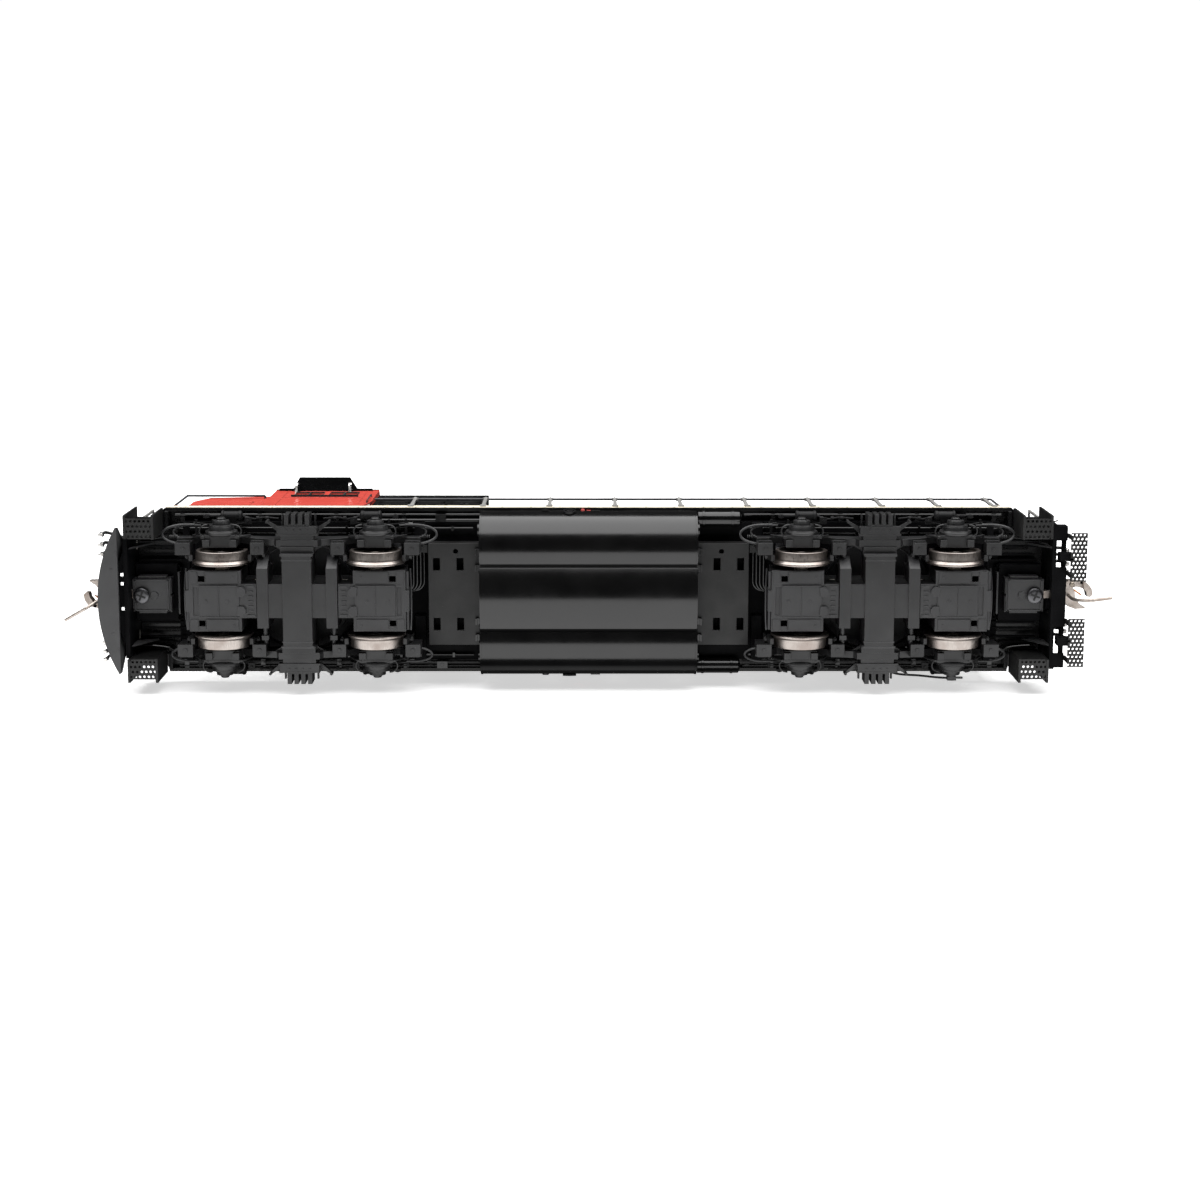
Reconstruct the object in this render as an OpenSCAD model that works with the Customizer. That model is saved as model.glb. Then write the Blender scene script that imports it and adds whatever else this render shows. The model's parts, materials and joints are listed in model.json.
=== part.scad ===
// HO scale (1:87) four-axle diesel-electric road switcher, motorised model.
// +X is the cab end, +Y the left side seen from the cab, +Z up.
// z = 0 is the lowest point of the wheel flanges; the rail head is at z = flange_depth.

/* [Running gear] */
// Distance between the two truck swivel centres
truck_centres = 118.8; // [117.6:0.4:120]
// Distance between the two axles of one truck
wheelbase = 31.5; // [31.3:0.1:31.7]
// Diameter of the wheel tread
tread_d = 10.8; // [10.6:0.1:10.8]
// Depth of the wheel flange below the tread
flange_depth = 0.6; // [0.5:0.1:0.7]
// Gap between the back faces of the two wheels of an axle
back_to_back = 14.5; // [14.4:0.05:14.6]
// Width of one wheel, flange and tread together
wheel_w = 2.8; // [2.6:0.1:2.9]
// Module of every spur gear
gear_m = 0.5; // [0.5]
// Teeth on the worm wheel
teeth_worm_wheel = 27; // [27]
// Teeth on each idler
teeth_idler = 16; // [16]
// Teeth on the gear in the middle of each axle
teeth_axle = 12; // [12]
// Face width of the spur gears
gear_face = 3; // [2.6:0.1:3.2]

/* [Frame and body] */
// Height of the walkway top
deck_z = 18.4; // [18.2:0.1:18.6]
// Half of the width over the side sills
sill_half = 17.4; // [17.2:0.1:17.6]
// Length of the fuel tank
tank_len = 44.8; // [43:0.2:45]
// Half of the width of the fuel tank
tank_half = 17.1; // [16.6:0.1:17.2]
// Half of the width of the long hood
hood_half = 10.5; // [10.2:0.1:10.8]
// Height of the long hood roof
hood_top = 50; // [49:0.25:50.5]
// Height of the cab eaves
cab_eaves = 47.5; // [47:0.25:48]
// Height of the cab roof ridge
cab_top = 52.6; // [52:0.2:53]

/* [Couplers] */
// Distance from the middle of the model to each coupler pivot
coupler_pivot = 92.4; // [92.2:0.1:92.6]
// Height of the coupler centre line above the flange bottoms
coupler_z = 10.5; // [10.4:0.1:10.6]

/* [Clearances] */
// Radial clearance of every running fit
run_fit = 0.06; // [0.04:0.01:0.08]
// Backlash between spur gear teeth
backlash = 0.34; // [0.3:0.02:0.4]

/* [Hidden] */
$fn = 32;

tx = truck_centres/2;               // truck centre
ax = wheelbase/2;                   // axle from the truck centre
az = flange_depth + tread_d/2;      // axle height
r_tread = tread_d/2;
r_flange = az;
wy0 = back_to_back/2;               // wheel back face
wy1 = wy0 + wheel_w;                // wheel outer face
r_ww = gear_m*teeth_worm_wheel/2;
r_id = gear_m*teeth_idler/2;
r_ax = gear_m*teeth_axle/2;
id_z = az + 2;                      // idler height
id_x = ax - sqrt(pow(r_id+r_ax,2) - pow(id_z-az,2));
ww_z = id_z + sqrt(pow(r_ww+r_id,2) - pow(id_x,2));
worm_r = 2.5;                       // worm pitch radius
drive_z = ww_z + r_ww + worm_r;     // height of the motor and worm axis
worm_pitch = PI*gear_m;
cup_x = 12.5;                       // outer end of the worm coupling from the truck centre
collar_r = 12;                      // truck swivel collar

// direction angles of the gear train, in the X-Z plane
th_ci = atan2(id_z-ww_z, id_x);
th_ia = atan2(az-id_z, ax-id_x);
ph_ww = -90;
ph_if = th_ci + 180 - (ph_ww-th_ci)*teeth_worm_wheel/teeth_idler + 180/teeth_idler;
ph_af = th_ia + 180 - (ph_if-th_ia)*teeth_idler/teeth_axle + 180/teeth_axle;
th_cr = 180 - th_ci;
th_ra = 180 - th_ia;
ph_ir = th_cr + 180 - (ph_ww-th_cr)*teeth_worm_wheel/teeth_idler + 180/teeth_idler;
ph_ar = th_ra + 180 - (ph_ir-th_ra)*teeth_idler/teeth_axle + 180/teeth_axle;

// ---------- helpers ----------
module bx(x0, x1, y0, y1, z0, z1) translate([x0, y0, z0]) cube([x1-x0, y1-y0, z1-z0]);
module xcyl(x0, x1, y, z, r) translate([x0, y, z]) rotate([0, 90, 0]) cylinder(h=x1-x0, r=r);
module ycyl(y0, y1, x, z, r) translate([x, y1, z]) rotate([90, 0, 0]) cylinder(h=y1-y0, r=r);
module zcyl(z0, z1, x, y, r) translate([x, y, z0]) cylinder(h=z1-z0, r=r);
module both_y() { children(); mirror([0, 1, 0]) children(); }
module both_x() { children(); mirror([1, 0, 0]) children(); }
// outline given as X-Z, extruded along Y
module xz(y0, y1) translate([0, y1, 0]) rotate([90, 0, 0]) linear_extrude(y1-y0) children();
// outline given as Y-Z, extruded along X
module yz(x0, x1) translate([x0, 0, 0]) rotate([90, 0, 90]) linear_extrude(x1-x0) children();
// quarter bend of round rod in the plane of the first two axes, centred on its bend centre
module bend(r, rod, a0, a1) rotate([0, 0, a0]) rotate_extrude(angle=a1-a0) translate([r, 0]) circle(r=rod);

function gear_pts(n, ph) = let(rp=n*gear_m/2, ra=rp+0.9*gear_m, rr=rp-1.1*gear_m, tp=PI*gear_m/2-backlash,
    hr=(tp+2*(rp-rr)*tan(20))/(2*rr)*180/PI, ht=(tp-2*(ra-rp)*tan(20))/(2*ra)*180/PI)
  [for (i=[0:n-1]) for (k=[[rr,-hr],[ra,-ht],[ra,ht],[rr,hr]])
    let(a=ph+i*360/n+k[1]) [k[0]*cos(a), k[0]*sin(a)]];
module spur(n, ph, face) xz(-face/2, face/2) polygon(gear_pts(n, ph));

// ---------- root: frame ----------
module underframe() color([0.07,0.07,0.07]) difference() {
  union() {
    bx(-85.6, 85.6, -14.6, 14.6, 14.2, 17.2);
    both_x() bx(85.5, 94.2, -6, 6, coupler_z+1.6, 17.2);
    bx(-32.4, 32.4, -9.6, 9.6, 13.2, 14.3);
    both_x() both_y() bx(34, 36.2, 5, 14.6, 12.6, 14.3);
    both_x() both_y() bx(82.8, 84.2, 8, 14.6, 12.8, 14.3);
  }
  both_x() translate([tx, 0, 13]) cylinder(h=6, r=collar_r+run_fit);
  bx(-31.4, 31.4, -8.6, 8.6, 14.2, 18);
  both_x() zcyl(11, 18, coupler_pivot, 0, 0.5);
  both_x() both_y() zcyl(13, 18, 40, 9.5, 0.5);
}

module walkway_deck() color([0.06,0.06,0.065]) difference() {
  union() {
    linear_extrude(1) translate([0,0]) polygon([[88.3,sill_half],[-88.3,sill_half],[-91,15.1],[-95.4,15.1],
      [-95.4,-15.1],[-91,-15.1],[-88.3,-sill_half],[88.3,-sill_half],[91,-15.1],[94.4,-15.1],[94.4,15.1],[91,15.1]]);
    both_y() translate([0,0,-2.2]) bx(-88.3, 88.3, sill_half-0.8, sill_half, 0, 2.3);
    both_x() both_y() bx(87.5, 88.3, 12.4, sill_half-0.7, -3, 0.2);
  }
  bx(-84.8, 70.6, -9.4, 9.4, -0.5, 1.5);
}

module tank_outline(d) {
  // two round side lobes and a proud convex centre panel, inset by d
  translate([-6.5, 5.6+d]) square([13, 7.51-d]);
  both_u() intersection() {
    translate([9.8, 12]) circle(r=7.3-d, $fn=64);
    translate([6.4, 0]) square([13.4, 12]);
  }
  translate([-(tank_half-d), 12-0.01]) square([2*(tank_half-d), 1.11]);
  intersection() {
    translate([0, 3.0+12.8]) circle(r=12.8-d, $fn=96);
    translate([-6.4+d, 2]) square([12.8-2*d, 4]);
  }
}
module both_u() { children(); mirror([1, 0]) children(); }

module fuel_tank() color([0.055,0.055,0.06]) difference() {
  yz(-tank_len/2, tank_len/2) tank_outline(0);
  translate([0,0,0]) yz(-tank_len/2+1, tank_len/2-1) intersection() {
    tank_outline(1);
    translate([-20, 0]) square([40, 12]);
  }
  bx(-tank_len/2+2, tank_len/2-2, -10, 10, 11, 14);
}

module fuel_filler_caps() color([0.08,0.08,0.085]) both_y() {
  translate([4, 9.8, 12]) rotate([-98.7, 0, 0]) translate([0, 0, 7.31]) {
    difference() { cylinder(h=0.4, r=1.4); translate([0,0,0.2]) cylinder(h=1, r=1.05); }
    cylinder(h=0.34, r=0.6);
  }
}

module air_reservoirs() color([0.07,0.07,0.07]) both_y() {
  translate([-22.7, 15.5, 12.4]) rotate([0, -90, 0]) {
    cylinder(h=8.6, r=1.6);
    translate([0,0,8.6]) rotate_extrude() intersection() { translate([0,-2.2]) circle(r=2.7); square([1.6, 3]); }
    translate([0,0,0.9]) cylinder(h=0.5, r=1.72);
    translate([0,0,6.9]) cylinder(h=0.5, r=1.72);
  }
}

module driveshaft_covers() color([0.06,0.06,0.065]) both_x() difference() {
  union() {
    bx(22.6, 33.2, -10.7, 10.7, 10, 11);
    both_y() bx(22.6, 33.2, 9.9, 10.7, 10, 13.2);
    bx(32.5, 33.2, -10.7, 10.7, 10, 13.2);
  }
  both_y() for (x=[26.6, 31.5]) bx(x-0.7, x+0.7, 5, 7.6, 9, 11.5);
  zcyl(9, 12, 27.5, 9, 0.5);
}

module conduit_run(i) {
  // one of four parallel conduits: along X, then a bend towards the sill
  o = i*0.75;
  translate([36.4-o, 2.2+o*0.2, 11.4]) {
    rotate([-90, 0, 0]) cylinder(h=7.2, r=0.3);
    translate([2, 0, 0]) rotate([0, 0, 180]) bend(2, 0.3, 0, 90);
    translate([2, -2, 0]) rotate([0, 90, 0]) cylinder(h=1.2+o*0.7, r=0.3);
  }
}
module underframe_pipes() color([0.08,0.08,0.08]) {
  both_x() for (i=[0:3]) conduit_run(i);
  both_x() bx(33.4, 36.9, 8.6, 10.2, 10.9, 12.6);
  both_x() bx(37.1, 39.4, -0.5, 1.1, 11, 14.2);
  both_y() xcyl(22.5, 86, 16.0, 14.6, 0.28);
  both_y() xcyl(-86, -32.4, 16.0, 14.6, 0.28);
  both_y() xcyl(22.5, 50, 15.0, 13.3, 0.35);
  both_y() both_x() for (x=[38, 52, 68, 84]) bx(x, x+0.9, 14.6, 16.4, 14.4, 14.8);
}

// ---------- root: body ----------
module hood_outline(d) polygon([[-hood_half+d, deck_z], [-hood_half+d, hood_top-2.6-d*0.4], [-hood_half+2.6+d*0.4, hood_top-d],
  [hood_half-2.6-d*0.4, hood_top-d], [hood_half-d, hood_top-2.6-d*0.4], [hood_half-d, deck_z]]);
module hood_shell() color([0.05,0.05,0.055]) difference() {
  union() {
    difference() {
      yz(-86.2, 21.8) hood_outline(0);
      yz(-85.2, 20.8) translate([0, -1]) hood_outline(1);
      translate([0,0,-0.5]) yz(-85.2, 20.8) hood_outline(1);
      bx(20, 23, -9.5, 9.5, deck_z-1, 47.6);
    }
    // doors along both sides
    both_y() for (i=[0:11]) bx(-82.6+i*6.6, -82.6+i*6.6+6.0, hood_half-0.2, hood_half+0.22, deck_z+1.2, deck_z+17);
    // dynamic brake blister
    both_y() bx(-6, 14, hood_half-0.2, hood_half+1.6, 40.4, 46.4);
    // radiator intake frames
    both_y() bx(-83, -62, hood_half-0.2, hood_half+0.4, 38, 46.6);
    // exhaust stack
    bx(-24, -17, -1.6, 1.6, hood_top-0.5, hood_top+1.8);
  }
  both_y() bx(-82.2, -62.8, hood_half-0.6, hood_half+1, 38.8, 45.8);
  bx(-23.4, -17.6, -1, 1, hood_top+0.2, hood_top+3);
  for (x=[-79, -70.5, -62]) zcyl(hood_top-2, hood_top+1, x, 0, 3.3);
}

module radiator_grilles() color([0.09,0.09,0.09]) both_y() difference() {
  bx(-82.1, -62.9, hood_half-0.5, hood_half+0.1, 38.9, 45.7);
  for (i=[0:13]) bx(-81.6+i*1.35, -80.9+i*1.35, hood_half-0.3, hood_half+0.3, 39.4, 45.2);
}

module roof_fans() color([0.07,0.07,0.075]) for (x=[-79, -70.5, -62]) translate([x, 0, hood_top]) {
  difference() { cylinder(h=1.4, r=3.9); translate([0,0,-1]) cylinder(h=2.2, r=3.2);
    for (a=[0:15:345]) rotate([0,0,a]) translate([2.1, -0.12, 1]) cube([1.2, 0.24, 1]); }
  translate([0,0,0.2]) { cylinder(h=0.7, r=0.7); for (a=[0:60:300]) rotate([0,0,a]) translate([0.4,-0.35,0.1]) cube([2.4,0.7,0.25]); }
  translate([0,0,-1]) difference() { cylinder(h=1, r=3.2); translate([0,0,-1]) cylinder(h=3, r=3.0); }
}

cab_x0 = 46.4; cab_x1 = 69.2; cab_half = 17.0;
module cab_section(d) polygon([[-cab_half+d, deck_z], [-cab_half+d, cab_eaves-d*0.3], [-10+d*0.3, cab_top-d], [10-d*0.3, cab_top-d],
  [cab_half-d, cab_eaves-d*0.3], [cab_half-d, deck_z]]);
module cab_shell() color([0.62,0.05,0.05]) difference() {
  yz(cab_x0, cab_x1) cab_section(0);
  yz(cab_x0+1, cab_x1-1) translate([0,-1]) cab_section(1);
  yz(cab_x0+1, cab_x1-1) cab_section(1);
  // side windows
  for (w=[[50.4, 56.6], [58.0, 64.2]]) bx(w[0], w[1], -20, 20, 36.4, 43.2);
  // windshields and rear windows
  bx(67, 71, -7, 7, deck_z-1, 28);
  bx(44, 48, -4, 4, deck_z-1, 27);
  both_y() { bx(60, 71, 1.4, 7.6, 40.4, 46.6); bx(60, 71, 9.4, 15.2, 40.4, 45.6); bx(44, 48, 11.6, 15.6, 46.1-5, 46.1); }
}
module cab_glazing() color([0.75,0.85,0.9,0.45]) {
  both_y() { bx(50.0, 64.6, 15.1, 15.8, 36, 43.6); bx(67.4, 68.1, 1, 15.3, 40, 46.8); }
}
module cab_interior() color([0.25,0.27,0.25]) {
  difference() {
    bx(47.6, 68, -13.6, 13.6, 27.4, 28.4);
    bx(48, 50, -2, 2, 27, 29);
  }
  bx(60.5, 66.4, 7.4, 11.6, 28.4, 34.5);
  both_y() { bx(53.4, 57.2, 6.8, 10.8, 28.4, 32.2); bx(52.4, 53.5, 6.8, 10.8, 28.4, 36.4); }
  both_y() bx(47.6, 68, 13.5, 15.9, 26.6, 28.4);
}

module nose_hood() color([0.62,0.05,0.05]) difference() {
  union() {
    xz(-16.6, 16.6) polygon([[cab_x1, deck_z], [84.9, deck_z], [84.9, 31], [82.2, 37.2], [cab_x1, 39.4]]);
  }
  xz(-15.6, 15.6) polygon([[cab_x1-1, deck_z-1], [83.9, deck_z-1], [83.9, 30.8], [81.5, 36.4], [cab_x1-1, 38.4]]);
  for (y=[-2.1, 2.1]) xcyl(80, 90, y, 33.0, 1.1);
}

module headlight_lenses() color([0.95,0.93,0.8]) {
  for (y=[-2.1, 2.1]) xcyl(82.2, 84.4, y, 33.0, 1.1);
  both_y() xcyl(94.4, 95.6, 9.5, 15.8, 1.0);
  for (y=[-1.5, 1.5]) xcyl(-87.0, -86.2, y, 46.4, 0.9);
}

module window_sunshades() color([0.06,0.06,0.06]) both_y() {
  translate([0,0,45.4]) linear_extrude(0.5) polygon([[50.8,cab_half],[65.5,cab_half],[63.8,20.05],[52.7,20.05]]);
  bx(47.8, 68.4, cab_half, cab_half+0.5, 45.6, 46.3);
  for (x=[52.2, 63.7]) bx(x, x+0.5, cab_half, cab_half+1.6, 43.9, 45.5);
}

module equipment_cabinet() color([0.05,0.05,0.055]) difference() {
  union() {
    bx(22.0, 46.2, -16.2, 16.2, deck_z, 44.6);
    bx(22.4, 45.8, -11, 11, 44.5, hood_top);
    both_y() for (i=[0:2]) bx(23.2+i*7.6, 23.2+i*7.6+7.0, 16.1, 16.4, deck_z+1.2, 42.8);
  }
  bx(23.0, 45.2, -15.2, 15.2, deck_z-1, 43.6);
  bx(23.4, 44.8, -10, 10, 43, hood_top-1);
  bx(21, 24, -9.6, 9.6, deck_z-1, 47.8);
  bx(44, 47, -4, 4, deck_z-1, 27);
}

// ---------- root: ends ----------
module front_pilot() color([0.07,0.07,0.07]) difference() {
  union() {
    bx(94.4, 95.3, -12.5, 12.5, 4.8, 18.4);
    both_y() bx(94.4, 95.3, 12.4, 15.1, 12.2, 18.4);
    translate([0,0,5]) linear_extrude(0.6) intersection() { translate([100-plow_R, 0]) circle(r=28.0, $fn=96); translate([95.2, -10.4]) square([3, 20.8]); }
  }
  bx(94, 96, -3.2, 3.2, coupler_z-1.9, coupler_z+1.9);
  both_y() xcyl(94, 96, 9.5, 15.8, 1.0);
  for (y=[-2.2, 3.0, 4.9]) bx(95.3, 96.5, y-0.35, y+0.35, 4, 7);
}
plow_R = 30.9;
module snow_plow() color([0.09,0.09,0.095]) difference() {
  translate([100-plow_R, 0, 0]) rotate([0, 0, -29.4]) rotate_extrude(angle=58.8, $fn=96)
    polygon([[plow_R-5.2, 1.2], [plow_R, 1.2], [plow_R, 1.9], [plow_R-1.9, 8.2], [plow_R-2.7, 8.2], [plow_R-1.1, 2.0], [plow_R-5.2, 2.0]]);
  bx(60, 95.72, -20, 20, 0, 12);
}

module rear_pilot() color([0.07,0.07,0.07]) difference() {
  union() {
    bx(-96.4, -95.4, -15.1, 15.1, 6.4, 18.4);
    difference() {
      bx(-98.4, -96.3, -14.8, 14.8, 6.4, 9.4);
      bx(-97.7, -96.3, -14.1, 14.1, 7.1, 10);
    }
    both_y() bx(-99.0, -96.3, 8.0, 9.6, 3.2, 7.2);
  }
  bx(-100, -94, -3.8, 3.8, coupler_z-1.9, coupler_z+1.9);
  both_y() bx(-99, -96.0, 6.2, 11.8, 6, 7.4);
}

// perforated tread plate, corner at the origin
module tread(lx, ly, nx, ny, th, d) linear_extrude(th) difference() {
  square([lx, ly]);
  for (i=[0:nx-1], j=[0:ny-1]) translate([(i+0.5)*lx/nx + ((j%2)==0 ? -1 : 1)*lx/nx*0.22, (j+0.5)*ly/ny]) circle(d=d);
}
module step_treads() color([0.07,0.07,0.07]) {
  both_x() both_y() {
    translate([89.0, 12.5, 3.6]) tread(5.4, 4.2, 6, 4, 0.4, 0.55);
    bx(89.0, 94.35, 12.9, 14.5, 8.6, 9.0);
    bx(89.0, 94.4, 12.9, 14.3, 13.4, 13.8);
    bx(88.6, 89.1, 12.4, 17.4, 3.4, 15.0);
    bx(94.3, 94.8, 12.55, 17.4, 3.4, 12.2);
    bx(94.4, 94.8, 15.15, 17.4, 12.1, 17.4);
    bx(89.0, 94.35, 12.5, 12.95, 3.9, 15.2);
  }
  both_y() {
    translate([-101.7, 3.9, 2.6]) tread(3.3, 10, 4, 12, 0.5, 0.5);
    bx(-98.9, -98.4, 4.6, 5.4, 2.9, 7.4);
    bx(-98.9, -98.4, 12.4, 13.2, 2.9, 7.4);
  }
}

post_x = [37.2, 22.1, 8.2, -5.6, -19.4, -33.3, -47, -61.5, -73.3, -85];
rail_z = 30.6; rail_y = 17.15;
module handrail_stanchions() color([0.8,0.8,0.78]) both_y() {
  for (x=post_x) {
    bx(x-0.25, x+0.25, rail_y-0.25, rail_y+0.25, deck_z, rail_z);
    translate([x, rail_y, rail_z]) sphere(r=0.5, $fn=16);
    bx(x-0.6, x+0.6, sill_half, sill_half+0.25, deck_z-1.8, deck_z+0.4);
  }
  for (x=[-94.9, 93.6]) bx(x-0.25, x+0.25, 14.4, 14.9, deck_z, rail_z);
  for (x=[-94.9, 93.6]) bx(x-0.25, x+0.25, 5.4, 5.9, deck_z, rail_z);
}
module handrails() color([0.12,0.12,0.12]) both_y() difference() {
  union() {
    xcyl(-86.5, 45.9, rail_y, rail_z, 0.24);
    translate([-86.5, rail_y, rail_z]) sphere(r=0.24, $fn=16);
    zcyl(deck_z, rail_z, -86.5, rail_y, 0.24);
    xcyl(70.2, 87, 17.2, 36, 0.24);
    zcyl(deck_z, 36, 87, 17.2, 0.24);
    translate([87, 17.2, 36]) sphere(r=0.24, $fn=16);
    ycyl(16.6, 17.2, 70.2, 36, 0.24);
    for (x=[-94.9, 93.6]) ycyl(5.4, 14.9, x, rail_z+0.2, 0.24);
  }
  for (x=post_x) translate([x, rail_y, rail_z]) sphere(r=0.5, $fn=16);
  for (x=[-94.9, 93.6]) bx(x-0.3, x+0.3, 5.3, 15, rail_z-1, rail_z);
}

module hose(x, y, z, s, reach, splay) translate([x, y, z]) rotate([0, 0, splay]) {
  // straight run, quarter bend down and a hanging end with its glad hand
  translate([-s*0.05, 0, 0]) rotate([0, s*90, 0]) cylinder(h=reach+0.05, r=0.33);
  translate([s*reach, 0, -1.4]) rotate([90, 0, 0]) mirror([s>0?0:1, 0, 0]) bend(1.4, 0.33, 0, 90);
  translate([s*(reach+1.4), 0, -3.6]) cylinder(h=2.2, r=0.33);
  translate([s*(reach+1.4)-0.45, -0.35, -4.3]) cube([0.9, 0.7, 0.9]);
}
module mu_hoses() color([0.1,0.1,0.1]) {
  difference() {
    for (y=[-11.9, -10.3, -8.4, 6.9, 8.9, 11.0]) hose(95.3, y, 13.2, 1, 3.9, y>0 ? 18 : -18);
    bx(93, 95.3, -16, 16, 11, 15);
  }
  for (y=[-9.2, -7.8, -6.4, 4.8, 6.4, 7.8, 9.2]) hose(-96.45, y, 13.9, -1, 1.2, 0);
}

module coupler_boxes() color([0.08,0.08,0.08]) both_x() difference() {
  union() {
    difference() {
      bx(86.5, 94.3, -3.4, 3.4, coupler_z-1.6, coupler_z+1.6);
      bx(88.2, 94.4, -2.6, 2.6, coupler_z-0.95, coupler_z+0.95);
    }
    zcyl(coupler_z-1.2, coupler_z+1.2, coupler_pivot, 0, 1.0);
    zcyl(coupler_z-1.8, coupler_z-1.5, 89.8, 0, 0.8);
  }
  zcyl(0, 20, coupler_pivot, 0, 0.5);
}

module assembly_screws() color([0.3,0.3,0.32]) {
  both_x() difference() {
    union() {
      zcyl(coupler_z-1.6, 15.4, coupler_pivot, 0, 0.5);
      zcyl(coupler_z-2.3, coupler_z-1.6, coupler_pivot, 0, 1.35);
    }
    for (a=[45, 135]) translate([coupler_pivot, 0, coupler_z-2.4]) rotate([0,0,a]) translate([-0.9,-0.14,0]) cube([1.8,0.28,0.5]);
  }
  both_x() both_y() difference() {
    union() { zcyl(14.2, 17.4, 40, 9.5, 0.5); zcyl(13.5, 14.2, 40, 9.5, 1.1); }
    translate([39.2, 9.4, 13.4]) cube([1.6, 0.24, 0.4]);
  }
}

module bell_and_horn() color([0.55,0.45,0.2]) {
  translate([78, -8, 38.6]) { translate([0,0,-0.6]) cylinder(h=1.4, r=0.4); difference() { cylinder(h=1.8, r1=1.5, r2=0.7); translate([0,0,-0.3]) cylinder(h=1.2, r1=1.3, r2=0.8); } }
  translate([34, 0, hood_top]) { bx(-0.6, 0.6, -1.6, 1.6, 0, 1.0);
    for (y=[-1.3, 0, 1.3]) translate([0, y, 1.3]) rotate([0, 90, 0]) { translate([0,0,-2.2]) cylinder(h=3.2, r=0.35); translate([0,0,1.0]) cylinder(h=2.0, r1=0.35, r2=0.75); } }
}

// ---------- root: drive and electrics ----------
module motor_housing() color([0.55,0.56,0.58]) {
  difference() {
    union() {
      intersection() { xcyl(-14, 14, 0, drive_z, 9.4); bx(-14, 14, -8, 8, drive_z-8, drive_z+8); }
      xcyl(-15.4, -13.9, 0, drive_z, 3);
      xcyl(13.9, 15.4, 0, drive_z, 3);
    }
    xcyl(-12.6, 12.6, 0, drive_z, 6.6);
    xcyl(-16, 16, 0, drive_z, 1.0+run_fit);
  }
  // magnets
  difference() { xcyl(-8, 8, 0, drive_z, 6.6); xcyl(-9, 9, 0, drive_z, 5.5); bx(-9, 9, -2.2, 2.2, drive_z-7, drive_z+7); }
  // rubber cradle pads
  for (x=[-9, 9]) bx(x-2, x+2, -6, 6, 14.3, drive_z-8);
}
module circuit_board() color([0.05,0.25,0.12]) {
  bx(-42, 18, -7.5, 7.5, 46.2, 47.2);
  bx(-20, -6, -5, 5, 45.4, 46.2);
  for (x=[-34, -28]) bx(x, x+3, -3, 3, 45.2, 46.2);
  for (x=[-40, 14]) both_y() zcyl(44, 46.2, x, 5, 0.9);
}
module ballast_weight() color([0.35,0.35,0.37]) difference() {
  union() {
    bx(-84, 20, -9, 9, 32.4, 44);
    bx(20, 43.4, -9, 9, 32.4, 43);
    bx(-84, -74, -9, 9, 17.2, 32.5);
    both_y() bx(36, 43.4, 3.4, 8.6, 17.2, 32.5);
  }
  bx(-60, -50, -4, 4, 40, 45);
  xcyl(-85, -70, 0, drive_z, 2);
}
module speaker() color([0.15,0.15,0.15]) difference() {
  union() {
    zcyl(6.9, 10.7, 0, 0, 8.8);
    bx(-12, 12, -9.5, 9.5, 10.6, 11.8);
  }
  translate([0,0,6.4]) cylinder(h=1.8, r1=8, r2=3);
}

// ---------- rotor ----------
module motor_armature() color([0.6,0.4,0.25]) {
  xcyl(-30.5, 30.5, 0, drive_z, 1.0);
  difference() { xcyl(-7, 7, 0, drive_z, 5.1); for (a=[0:72:288]) translate([-8,0,drive_z]) rotate([a,0,0]) translate([0,-0.6,3]) cube([16,1.2,4]); }
  xcyl(8.4, 11.6, 0, drive_z, 2.2);
}
module flywheels() color([0.75,0.62,0.3]) both_x() difference() {
  union() { xcyl(17, 29.6, 0, drive_z, 6.6); xcyl(16.4, 17.1, 0, drive_z, 2.4); xcyl(29.5, 30.4, 0, drive_z, 3.4); }
  xcyl(16, 31, 0, drive_z, 1.0);
}
module drive_shafts() color([0.85,0.85,0.82]) both_x() {
  xcyl(30.5, tx-cup_x-0.7, 0, drive_z, 1.0);
  difference() { xcyl(30.5, 33, 0, drive_z, 2.2); }
  difference() { xcyl(tx-cup_x-3.4, tx-cup_x-0.7, 0, drive_z, 1.5); }
}

// ---------- couplers ----------
pin_reach = 7.4;                    // how far the trip pin reaches ahead of the head
module coupler_body(pin_a) {
  cz = coupler_z;
  difference() {
    union() {
      zcyl(cz-0.75, cz+0.75, coupler_pivot, 0, 2.1);
      bx(coupler_pivot, 99.2, -0.8, 0.8, cz-0.7, cz+0.7);
      // head with the fixed guard arm on +Y
      translate([0,0,cz-1.15]) linear_extrude(2.3) polygon([[97.8,-0.8],[98.2,-2.0],[99.4,-3.0],[100.4,-3.0],[100.4,-1.5],[100.9,-0.6],[101.0,0.6],
        [102.0,2.0],[103.4,2.9],[101.0,3.0],[99.4,2.4],[98.2,0.9]]);
    }
    zcyl(cz-2, cz+2, coupler_pivot, 0, 1.0+run_fit);
    zcyl(cz-2, cz+2, 100.2, -2.2, 0.4+run_fit);
    // slot that the knuckle lugs sit in
    translate([100.2, -2.2, cz-0.55]) cylinder(h=1.1, r=1.25);
    bx(100.2, 103, -3.5, -1.0, cz-0.55, cz+0.55);
  }
  // trip pin: down from the head, then curving forward
  translate([99.6, 0.2, cz-1.1]) rotate([0,0,pin_a]) {
    translate([0,0,-2.8]) cylinder(h=3.0, r=0.32);
    translate([5.2, 0, -2.8]) rotate([90, 0, 0]) bend(5.2, 0.32, 180, 250);
    translate([5.2-5.2*cos(70), 0, -2.8-5.2*sin(70)]) rotate([0, 84, 0]) cylinder(h=(pin_reach/cos(pin_a)-5.2+5.2*cos(70))/sin(84), r=0.32);
  }
}
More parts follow.
